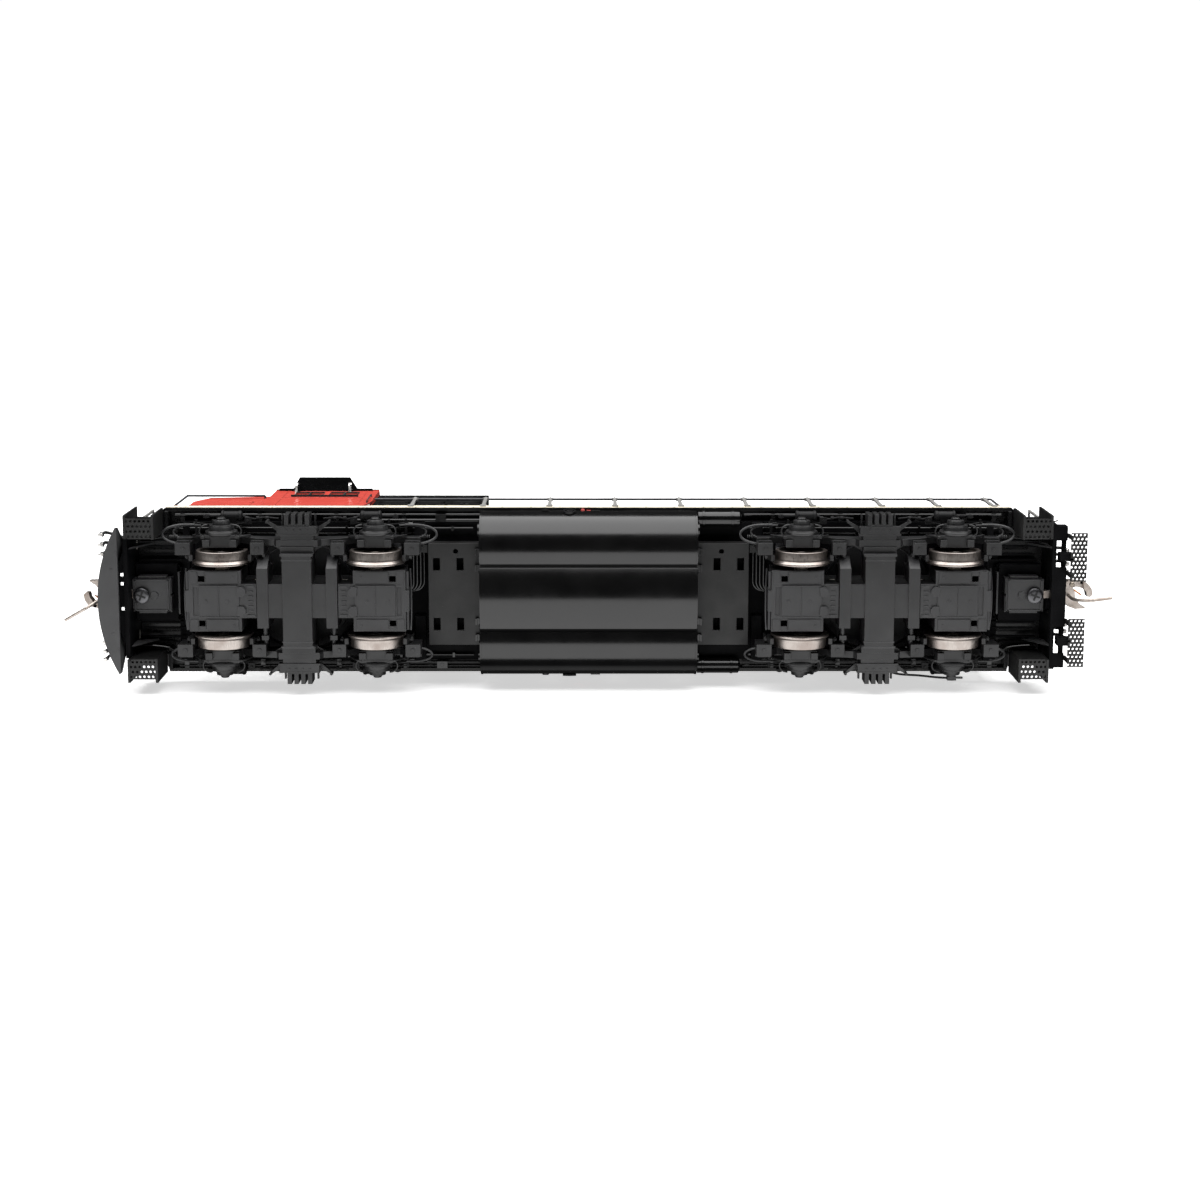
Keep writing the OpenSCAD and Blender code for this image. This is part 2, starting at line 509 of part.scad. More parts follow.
module knuckle() {
  cz = coupler_z;
  difference() {
    union() {
      translate([100.2, -2.2, cz-0.45]) cylinder(h=0.9, r=0.95);
      zcyl(cz-1.15, cz+1.15, 100.2, -2.2, 0.4);
      translate([0,0,cz-0.45]) linear_extrude(0.9) polygon([[100.2,-3.1],[102.2,-2.9],[103.6,-2.3],[104.4,-1.2],[104.6,0.0],[104.1,0.5],[103.4,0.4],
        [103.2,-0.6],[102.6,-1.25],[101.4,-1.55],[100.3,-1.35]]);
      translate([0,0,cz-1.15]) linear_extrude(2.3) polygon([[102.5,-2.75],[103.6,-2.3],[104.4,-1.2],[104.6,0.0],[104.1,0.5],[103.4,0.4],[103.2,-0.6],[102.7,-1.2]]);
    }
  }
}
module front_coupler() color([0.42,0.36,0.32]) coupler_body(-30);
module front_knuckle() color([0.45,0.4,0.36]) knuckle();
module rear_coupler() color([0.42,0.36,0.32]) rotate([0,0,180]) coupler_body(-6);
module rear_knuckle() color([0.45,0.4,0.36]) rotate([0,0,180]) knuckle();

// ---------- trucks (local frame: centre of the truck) ----------
module truck_frame() color([0.07,0.07,0.07]) difference() {
  union() {
    // gearbox body: narrow spine in the middle, wide boxes round the axles
    xz(-3.5, 3.5) polygon([[-22.1,2.4],[22.1,2.4],[22.1,9.4],[18.5,11.2],[12.5,13.2],[-12.5,13.2],[-18.5,11.2],[-22.1,9.4]]);
    both_x() xz(-6.3, 6.3) polygon([[11.4,2.4],[22.1,2.4],[22.1,9.4],[18.5,11.2],[12.5,11.8],[11.4,11.8]]);
    // cross arms and bolster
    bx(-8.2, 8.2, -3.5, 3.5, 1.7, 2.5);
    both_x() bx(5.9, 8.2, -5.6, 6.8, 1.35, 9.2);
    bx(-3, 3, -9.6, 9.6, 1.3, 8.6);
    both_y() bx(-3.4, 3.4, 9.5, 11.0, 2.6, 8.6);
    // swivel collar and thrust flange
    zcyl(12.6, 14.05, 0, 0, 10.6);
    zcyl(14.0, 17.4, 0, 0, collar_r);
    // worm tower
    bx(-9.4, 9.4, -4.4, 4.4, 13, drive_z+3.9);
  }
  // gear space
  xz(-2, 2) polygon([[-20.4,2.3],[20.4,2.3],[20.4,8.6],[17.6,10],[12.4,12.5],[8.2,15.5],[8.2,drive_z-1],[-8.2,drive_z-1],[-8.2,15.5],[-12.4,12.5],[-17.6,10],[-20.4,8.6]]);
  bx(-5.8, 5.8, -3.3, 3.3, drive_z-3.3, drive_z+3.2);
  xcyl(-10, 10, 0, drive_z, 0.9+run_fit);
  // axle slots, open to the bottom
  both_x() { ycyl(-7, 7, ax, az, 1.5+run_fit); bx(ax-1.5-run_fit, ax+1.5+run_fit, -7, 7, 0, az); }
  // pins of the worm wheel and idlers are carried in plain bores
  ycyl(-5, 5, 0, ww_z, 0.7+run_fit);
  both_x() ycyl(-5, 5, id_x, id_z, 0.7+run_fit);
  both_x() both_y() bx(18.8, 20.1, 4.0, 5.2, 2, 7);
}

module truck_gear_covers() color([0.07,0.07,0.07]) {
  both_x() difference() {
    union() {
      bx(8.3, 22.1, -3.5, 3.5, 1.7, 2.4);
      bx(11.4, 22.1, -6.3, 6.3, 1.7, 2.4);
      bx(11.8, 20.0, -3.2, 3.2, 1.4, 1.8);
      // saddles that hold the axle down
      both_y() bx(ax-1.4, ax+1.4, 2.4, 6.2, 2.3, az-1.5-0.15);
      bx(22.1, 22.8, -2.2, 2.2, 1.7, 6.8);
      bx(21.9, 22.8, -2.2, 2.2, 1.7, 2.4);
    }
    both_y() bx(18.8, 20.1, 4.0, 5.2, 1, 3);
    bx(20.3, 21.2, -3.0, 3.0, 1, 2.0);
  }
}

// outline of the cast side frame, X-Z
module side_outline() polygon([[-24.9,6.0],[-24.9,9.3],[-21.5,9.4],[-19.6,11.4],[-11.2,11.4],[-9.6,9.2],[-4.6,8.4],[4.6,8.4],[9.6,9.2],[11.2,11.4],[19.6,11.4],[21.5,9.4],[24.9,9.3],
  [24.9,6.0],[22.4,6.4],[20.3,8.2],[19.2,8.4],[19.2,2.6],[17.8,2.6],[17.8,3.8],[13.7,3.8],[13.7,2.6],[12.3,2.6],[12.3,8.0],[10.6,7.2],[8.6,5.4],[4.8,4.6],[4.2,3.0],[-4.2,3.0],[-4.8,4.6],[-8.6,5.4],
  [-10.6,7.2],[-12.3,8.0],[-12.3,2.6],[-13.7,2.6],[-13.7,3.8],[-17.8,3.8],[-17.8,2.6],[-19.2,2.6],[-19.2,8.4],[-20.3,8.2],[-22.4,6.4]]);
module truck_side_frames() color([0.08,0.08,0.08]) both_y() {
  difference() {
    union() {
      xz(11.0, 12.4) side_outline();
      // journal boxes and bearing caps
      both_x() { bx(ax-3.3, ax+3.3, 10.7, 13.3, 3.6, 8.6); ycyl(13.2, 14.0, ax, az, 3.2); ycyl(13.9, 15.2, ax, az, 2.5); ycyl(15.1, 16.1, ax, az, 1.7); ycyl(16.0, 16.7, ax, az, 0.8); }
      // clasp brake hangers beside the wheels
      both_x() { bx(6.8, 9.6, 9.3, 11.8, 3.2, 9.0); bx(21.8, 24.9, 9.3, 11.8, 3.0, 9.0); }
      // brake cylinders above the journal boxes
      both_x() { xcyl(12.4, 16.4, 16.2, 11.5, 1.0); xcyl(16.3, 19.6, 16.2, 11.5, 0.3); bx(13.4, 15.2, 12.2, 16, 10.6, 11.3); }
      // spring plank, tray and spring group
      bx(-3.4, 3.4, 11.3, 13.5, 3.2, 6.2);
      bx(-4.05, 4.05, 13.4, 15.1, 3.0, 4.4);
      for (i=[0:3]) bx(-2.55+i*1.4, -1.65+i*1.4, 15.0, 17.6, 3.2, 8.0);
      bx(-2.55, 2.55, 15.0, 15.5, 3.2, 8.4);
      bx(-2.55, 2.55, 16.0, 17.4, 7.2, 8.0);
      bx(-2.4, 2.4, 12.3, 15.1, 7.4, 8.4);
    }
    both_x() ycyl(9, 11.4, ax, az, 1.2);
  }
}

// worm shaft with the coupling cup towards the motor; s is the side of the motor
module worm_shaft(s) color([0.78,0.66,0.35]) {
  mirror([s>0?0:1, 0, 0]) {
    xcyl(-9.3, cup_x-2.6, 0, drive_z, 0.9);
    difference() { xcyl(9.6, cup_x, 0, drive_z, 2.1); xcyl(11.2, cup_x+1, 0, drive_z, 1.5); }
    xcyl(-5.4, 5.4, 0, drive_z, 1.85);
  }
  // helical thread of one start
  translate([-4.7, 0, drive_z]) rotate([0, 90, 0]) rotate([0,0,thread_ph]) linear_extrude(height=9.4, twist=thread_sign*360*9.4/worm_pitch, slices=54)
    polygon([for (i=[0:15]) let(a=i*22.5, d=min(a, 360-a), r=d<40 ? worm_r+0.22 : d<80 ? worm_r-0.25 : 1.8) [r*cos(a), r*sin(a)]]);
}
thread_ph = 0; thread_sign = 1;

module worm_wheel() color([0.9,0.88,0.8]) difference() {
  union() {
    translate([0,0,ww_z]) spur(teeth_worm_wheel, ph_ww, gear_face);
    ycyl(-1.8, 1.8, 0, ww_z, 2.2);
    ycyl(-4.3, 4.3, 0, ww_z, 0.7);
  }
}
module idler(f) color([0.9,0.88,0.8]) {
  translate([f*id_x,0,id_z]) spur(teeth_idler, f>0 ? ph_if : ph_ir, gear_face);
  ycyl(-1.8, 1.8, f*id_x, id_z, 1.6);
  ycyl(-3.4, 3.4, f*id_x, id_z, 0.7);
}
module axle_gear(f) color([0.12,0.12,0.12]) difference() {
  union() {
    translate([f*ax,0,az]) spur(teeth_axle, f>0 ? ph_af : ph_ar, gear_face);
    ycyl(-6.7, 6.7, f*ax, az, 1.5);
  }
  ycyl(-8, 8, f*ax, az, 0.8);
}
module wheels(f) color([0.72,0.68,0.62]) translate([f*ax,0,az]) both_y() {
  rotate([-90,0,0]) rotate_extrude($fn=72) polygon([[0,wy0],[r_flange-0.12,wy0],[r_flange,wy0+0.2],[r_flange-0.05,wy0+0.55],[r_tread+0.12,wy0+0.8],[r_tread,wy0+1.05],
    [r_tread-0.08,wy1-0.1],[r_tread-0.18,wy1],[4.5,wy1],[4.2,wy1-0.55],[2.0,wy1-0.5],[1.8,wy1-0.1],[1.2,wy1],[0.8,wy1+0.25],[0,wy1+0.25]]);
  rotate([-90,0,0]) translate([0,0,0.3]) cylinder(h=wy0-0.2, r=0.8);
}

module at_front() translate([tx,0,0]) children();
module at_rear() translate([-tx,0,0]) children();

underframe();
translate([0,0,deck_z-1]) walkway_deck();
fuel_tank();
fuel_filler_caps();
air_reservoirs();
driveshaft_covers();
underframe_pipes();
hood_shell();
radiator_grilles();
roof_fans();
cab_shell();
cab_glazing();
cab_interior();
nose_hood();
headlight_lenses();
window_sunshades();
equipment_cabinet();
front_pilot();
snow_plow();
rear_pilot();
step_treads();
handrail_stanchions();
handrails();
mu_hoses();
coupler_boxes();
assembly_screws();
bell_and_horn();
motor_housing();
circuit_board();
ballast_weight();
speaker();
motor_armature();
flywheels();
drive_shafts();
front_coupler();
front_knuckle();
rear_coupler();
rear_knuckle();
at_front() truck_frame();  // front_truck_frame
at_front() truck_gear_covers();  // front_truck_gear_covers
at_front() truck_side_frames();  // front_truck_side_frames
at_front() worm_shaft(-1);  // front_truck_worm
at_front() worm_wheel();  // front_truck_worm_wheel
at_front() idler(1);  // front_truck_idler_fore
at_front() idler(-1);  // front_truck_idler_aft
at_front() wheels(1);  // front_truck_wheels_fore
at_front() axle_gear(1);  // front_truck_axle_gear_fore
at_front() wheels(-1);  // front_truck_wheels_aft
at_front() axle_gear(-1);  // front_truck_axle_gear_aft
at_rear() truck_frame();  // rear_truck_frame
at_rear() truck_gear_covers();  // rear_truck_gear_covers
at_rear() truck_side_frames();  // rear_truck_side_frames
at_rear() worm_shaft(1);  // rear_truck_worm
at_rear() worm_wheel();  // rear_truck_worm_wheel
at_rear() idler(1);  // rear_truck_idler_fore
at_rear() idler(-1);  // rear_truck_idler_aft
at_rear() wheels(1);  // rear_truck_wheels_fore
at_rear() axle_gear(1);  // rear_truck_axle_gear_fore
at_rear() wheels(-1);  // rear_truck_wheels_aft
at_rear() axle_gear(-1);  // rear_truck_axle_gear_aft
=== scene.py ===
import bpy, bmesh, math, random, json
from mathutils import Vector, Matrix


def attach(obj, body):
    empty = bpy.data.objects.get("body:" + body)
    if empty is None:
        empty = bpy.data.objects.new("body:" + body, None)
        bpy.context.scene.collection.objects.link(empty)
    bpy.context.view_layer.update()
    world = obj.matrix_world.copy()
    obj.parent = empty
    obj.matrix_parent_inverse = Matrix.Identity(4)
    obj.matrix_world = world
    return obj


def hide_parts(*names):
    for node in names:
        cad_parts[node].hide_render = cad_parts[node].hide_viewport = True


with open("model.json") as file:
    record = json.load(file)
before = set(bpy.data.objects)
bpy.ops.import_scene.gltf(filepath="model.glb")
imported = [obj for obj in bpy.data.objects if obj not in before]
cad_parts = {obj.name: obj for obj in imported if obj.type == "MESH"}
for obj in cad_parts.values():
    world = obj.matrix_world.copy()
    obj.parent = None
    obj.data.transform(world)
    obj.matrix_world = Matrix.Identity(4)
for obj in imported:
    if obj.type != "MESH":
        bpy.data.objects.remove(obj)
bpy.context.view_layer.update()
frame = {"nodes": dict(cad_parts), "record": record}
S = 0.001
random.seed(7)
NODES = frame["nodes"]

# ------------------------------------------------------------------ camera
D = 473.2 * S
A = math.radians(10.0)
YAW = math.radians(0.281)
c, s = math.cos(A), math.sin(A)
cam_data = bpy.data.cameras.new("camera")
cam_data.sensor_width = 36.0
cam_data.lens = 69.84
cam_data.clip_start = 0.01
cam_data.clip_end = 20
cam = bpy.data.objects.new("camera", cam_data)
bpy.context.scene.collection.objects.link(cam)
target = Vector((0, 0.56 * S, 0))
fwd = Vector((-math.sin(YAW), -s * math.cos(YAW), c * math.cos(YAW))).normalized()
up = Vector((0, c, s))
right = fwd.cross(up).normalized()
up = right.cross(fwd).normalized()
rot = Matrix((right, up, -fwd)).transposed()
cam.matrix_world = Matrix.Translation(target + D * Vector((0, s, -c))) @ rot.to_4x4()
bpy.context.scene.camera = cam
bpy.context.scene.view_settings.view_transform = "Standard"


# ------------------------------------------------------------------ materials
def new_mat(name):
    m = bpy.data.materials.new(name)
    m.use_nodes = True
    nt = m.node_tree
    b = nt.nodes["Principled BSDF"]
    return m, nt, b


def coords(nt):
    t = nt.nodes.new("ShaderNodeTexCoord")
    return t.outputs["Object"]


def noise(nt, co, scale, detail=4, rough=0.55, dist=0.0):
    n = nt.nodes.new("ShaderNodeTexNoise")
    n.inputs["Scale"].default_value = scale
    n.inputs["Detail"].default_value = detail
    n.inputs["Roughness"].default_value = rough
    n.inputs["Distortion"].default_value = dist
    nt.links.new(co, n.inputs["Vector"])
    return n.outputs["Fac"]


def ramp(nt, fac, stops, interp="LINEAR"):
    r = nt.nodes.new("ShaderNodeValToRGB")
    r.color_ramp.interpolation = interp
    while len(r.color_ramp.elements) < len(stops):
        r.color_ramp.elements.new(0.5)
    for e, (p, col) in zip(r.color_ramp.elements, stops):
        e.position = p
        e.color = (*col, 1) if len(col) == 3 else col
    nt.links.new(fac, r.inputs["Fac"])
    return r.outputs["Color"]


def mapr(nt, fac, a, b, lo=0.0, hi=1.0):
    r = nt.nodes.new("ShaderNodeMapRange")
    r.inputs["From Min"].default_value = lo
    r.inputs["From Max"].default_value = hi
    r.inputs["To Min"].default_value = a
    r.inputs["To Max"].default_value = b
    nt.links.new(fac, r.inputs["Value"])
    return r.outputs["Result"]


def mix(nt, fac, a, b, mode="MIX"):
    m = nt.nodes.new("ShaderNodeMix")
    m.data_type = "RGBA"
    m.blend_type = mode
    if isinstance(fac, float):
        m.inputs["Factor"].default_value = fac
    else:
        nt.links.new(fac, m.inputs["Factor"])
    for sock, v in (("A", a), ("B", b)):
        i = [x for x in m.inputs if x.name == sock and x.type == "RGBA"][0]
        if isinstance(v, tuple):
            i.default_value = (*v, 1) if len(v) == 3 else v
        else:
            nt.links.new(v, i)
    return [o for o in m.outputs if o.type == "RGBA"][0]


def math_n(nt, op, a, b=None, cval=None):
    m = nt.nodes.new("ShaderNodeMath")
    m.operation = op
    for k, v in enumerate((a, b, cval)):
        if v is None:
            continue
        if isinstance(v, (int, float)):
            m.inputs[k].default_value = v
        else:
            nt.links.new(v, m.inputs[k])
    return m.outputs[0]


def bump(nt, b, height, strength, distance):
    n = nt.nodes.new("ShaderNodeBump")
    n.inputs["Strength"].default_value = strength
    n.inputs["Distance"].default_value = distance
    nt.links.new(height, n.inputs["Height"])
    nt.links.new(n.outputs["Normal"], b.inputs["Normal"])
    return n


def plastic(name, base, rough=0.45, var=0.18, grain=5200, bstr=0.25, spec=0.5, speck=None, coat=0.0, smudge=0.08, recess_shade=None):
    """Moulded or painted plastic: slow colour drift, fine grain, handled patches and optional wear specks."""
    m, nt, b = new_mat(name)
    co = coords(nt)
    slow = noise(nt, co, 160, 3)
    lo = tuple(x * (1 - var) for x in base)
    hi = tuple(min(1, x * (1 + var) + 0.002) for x in base)
    col = ramp(nt, slow, [(0.3, lo), (0.7, hi)])
    fine = noise(nt, co, grain, 3, 0.6)
    if speck:
        sp = noise(nt, co, speck[0], 2, 0.5)
        fac = ramp(nt, sp, [(speck[1], (0, 0, 0)), (speck[1] + 0.03, (1, 1, 1))])
        col = mix(nt, fac, col, speck[2])
    nt.links.new(col, b.inputs["Base Color"])
    sm = noise(nt, co, 240, 2, 0.5)
    nt.links.new(mapr(nt, sm, rough - smudge, rough + smudge, 0.3, 0.7), b.inputs["Roughness"])
    b.inputs["Specular IOR Level"].default_value = spec
    if recess_shade:
        # painted shade: specular is dulled higher up inside the truck, darkening its recesses
        sep = nt.nodes.new("ShaderNodeSeparateXYZ")
        nt.links.new(co, sep.inputs[0])
        nt.links.new(mapr(nt, sep.outputs[2], spec, recess_shade[2], recess_shade[0], recess_shade[1]), b.inputs["Specular IOR Level"])
    if coat:
        b.inputs["Coat Weight"].default_value = coat
        b.inputs["Coat Roughness"].default_value = 0.12
    bump(nt, b, fine, bstr, 0.00002)
    return m


def metal(name, base, rough=0.3, var=0.12, axis=None, scale=3800, bstr=0.2, tint=None, metallic=1.0):
    """Turned or cast metal. axis stretches the grain along the lathe or brushing direction."""
    m, nt, b = new_mat(name)
    co = coords(nt)
    mp = nt.nodes.new("ShaderNodeMapping")
    nt.links.new(co, mp.inputs["Vector"])
    if axis:
        mp.inputs["Scale"].default_value = axis
    g = noise(nt, mp.outputs["Vector"], scale, 4, 0.6)
    lo = tuple(x * (1 - var) for x in base)
    hi = tuple(min(1, x * (1 + var)) for x in base)
    col = ramp(nt, g, [(0.3, lo), (0.7, hi)])
    if tint:
        t = noise(nt, co, 260, 3, 0.6)
        col = mix(nt, mapr(nt, t, 0.0, 0.8, 0.42, 0.68), col, tint)
    nt.links.new(col, b.inputs["Base Color"])
    b.inputs["Metallic"].default_value = metallic
    nt.links.new(mapr(nt, g, rough - 0.08, rough + 0.1, 0.3, 0.7), b.inputs["Roughness"])
    bump(nt, b, g, bstr, 0.00002)
    return m


M = {}
# recess_shade dulls the truck's specular higher up inside it, a painted shade in the recesses
M["truck"] = plastic("truck_black_plastic", (0.0105, 0.0105, 0.011), 0.40, 0.2, 5200, 0.3, spec=0.5, recess_shade=(0.0066, 0.0108, 0.13), speck=(2600, 0.76, (0.06, 0.06, 0.06)))
M["frame"] = plastic("frame_black_paint", (0.004, 0.004, 0.0045), 0.42, 0.25, 4200, 0.3, spec=0.03)
M["plate"] = plastic("cover_black_plastic", (0.020, 0.020, 0.021), 0.42, 0.15, 5200, 0.25, speck=(3200, 0.78, (0.07, 0.07, 0.07)))
M["tank"] = plastic("tank_black_plastic", (0.0014, 0.0014, 0.0015), 0.20, 0.1, 6000, 0.0, speck=(900, 0.815, (0.10, 0.09, 0.08)), smudge=0.02, spec=0.5)
M["body"] = plastic("body_black_paint", (0.0055, 0.0055, 0.006), 0.25, 0.15, 5200, 0.03, spec=0.25, smudge=0.04)
M["plow"] = plastic("plow_grey_plastic", (0.034, 0.034, 0.035), 0.5, 0.12, 4800, 0.25)
M["etched"] = plastic("etched_black_metal", (0.011, 0.011, 0.011), 0.42, 0.25, 6200, 0.25, speck=(4200, 0.72, (0.05, 0.045, 0.04)), spec=0.35)
M["hose"] = plastic("hose_rubber", (0.022, 0.022, 0.023), 0.4, 0.2, 5200, 0.3)
M["wire"] = plastic("rail_dark_wire", (0.05, 0.05, 0.055), 0.35, 0.2, 6000, 0.1)
M["white"] = plastic("rail_white_plastic", (0.24, 0.236, 0.228), 0.4, 0.06, 5200, 0.1)
M["cream"] = plastic("stripe_cream_paint", (0.86, 0.78, 0.62), 0.4, 0.05, 5200, 0.1)
M["redline"] = plastic("stripe_dark_red_paint", (0.22, 0.012, 0.012), 0.4, 0.1, 5200, 0.1)
M["valve_red"] = plastic("valve_red_paint", (0.42, 0.03, 0.025), 0.4, 0.1, 5200, 0.1)
M["interior"] = plastic("interior_grey", (0.22, 0.24, 0.22), 0.6, 0.1)
M["seat"] = plastic("seat_brown", (0.10, 0.06, 0.04), 0.6, 0.1)
M["board"] = plastic("board_green", (0.02, 0.16, 0.07), 0.3, 0.2)
M["speaker"] = plastic("speaker_black", (0.04, 0.04, 0.04), 0.6, 0.1)
M["gear"] = plastic("gear_acetal", (0.72, 0.70, 0.62), 0.35, 0.05)
# black of the rubber gaskets, also used as painted shade in screw slots and the exhaust throat
M["dark"] = plastic("rubber_black_and_painted_recess_shade", (0.006, 0.006, 0.006), 0.7, 0.1)
M["wheel"] = metal("wheel_nickel_silver", (0.36, 0.325, 0.30), 0.34, 0.2, (7, 1, 7), 900, 0.4, tint=(0.24, 0.20, 0.18))
M["wheel_face"] = metal("wheel_face_blackened", (0.16, 0.15, 0.14), 0.42, 0.2, None, 3400, 0.3, tint=(0.30, 0.26, 0.22))
M["coupler"] = metal("coupler_bronzed", (0.52, 0.47, 0.43), 0.40, 0.22, None, 3600, 0.5, tint=(0.30, 0.24, 0.20))
M["pin"] = metal("trip_pin_steel", (0.42, 0.37, 0.31), 0.34, 0.15, None, 3000, 0.3, tint=(0.22, 0.18, 0.15))
M["steel"] = metal("plated_steel", (0.52, 0.52, 0.54), 0.3, 0.1, (9, 1, 1), 2400, 0.2)
M["screw"] = metal("screw_blackened_steel", (0.10, 0.10, 0.105), 0.35, 0.2, None, 3400, 0.3)
M["brass"] = metal("turned_brass", (0.72, 0.52, 0.22), 0.26, 0.1, (9, 1, 1), 2400, 0.2)
M["copper"] = metal("winding_copper", (0.70, 0.32, 0.16), 0.3, 0.15, None, 3600, 0.3)
M["weight"] = metal("cast_weight", (0.20, 0.20, 0.21), 0.6, 0.25, None, 1600, 0.6)
M["silver"] = metal("hose_fitting_silver", (0.75, 0.73, 0.70), 0.3, 0.1, None, 3200, 0.2)
M["grille"] = plastic("grille_black", (0.025, 0.025, 0.027), 0.5, 0.2)


def glass(name, col, rough, alpha):
    m, nt, b = new_mat(name)
    co = coords(nt)
    g = noise(nt, co, 300, 3)
    nt.links.new(ramp(nt, g, [(0.2, tuple(x * 0.92 for x in col)), (0.8, col)]), b.inputs["Base Color"])
    nt.links.new(mapr(nt, g, rough, rough + 0.06), b.inputs["Roughness"])
    b.inputs["Alpha"].default_value = alpha
    b.inputs["Specular IOR Level"].default_value = 0.6
    return m


M["glass"] = glass("window_glazing", (0.10, 0.12, 0.13), 0.05, 0.45)
M["lens"] = glass("lamp_lens", (0.9, 0.88, 0.8), 0.05, 0.75)


def livery(name):
    """Red sides with a black roof above the eaves; colours are split by height and by a slanted line near the cab's rear."""
    m, nt, b = new_mat(name)
    co = coords(nt)
    sep = nt.nodes.new("ShaderNodeSeparateXYZ")
    nt.links.new(co, sep.inputs[0])
    X, Y, Z = sep.outputs[0], sep.outputs[1], sep.outputs[2]
    slow = noise(nt, co, 160, 3)
    red = ramp(nt, slow, [(0.3, (0.62, 0.072, 0.052)), (0.7, (0.67, 0.080, 0.060))])
    blk = ramp(nt, slow, [(0.3, (0.006, 0.006, 0.0065)), (0.7, (0.009, 0.009, 0.0095))])
    # white band: rear lower corner of the cab, sloping upward to the rear
    line = math_n(nt, "ADD", X, math_n(nt, "MULTIPLY", Z, 0.16))
    white_fac = math_n(nt, "LESS_THAN", line, 0.0503)
    col = mix(nt, white_fac, red, (0.70, 0.67, 0.62))
    edge = math_n(nt, "MULTIPLY", math_n(nt, "LESS_THAN", line, 0.0510), math_n(nt, "GREATER_THAN", line, 0.0503))
    col = mix(nt, edge, col, (0.16, 0.006, 0.008))
    roof = math_n(nt, "GREATER_THAN", Z, 0.0476)
    col = mix(nt, roof, col, blk)
    nt.links.new(col, b.inputs["Base Color"])
    sm = noise(nt, co, 240, 2, 0.5)
    nt.links.new(mapr(nt, sm, 0.24, 0.30, 0.3, 0.7), b.inputs["Roughness"])
    b.inputs["Coat Weight"].default_value = 0.25
    b.inputs["Coat Roughness"].default_value = 0.15
    bump(nt, b, noise(nt, co, 5200, 2), 0.04, 0.00002)
    return m


M["red"] = livery("body_red_livery")


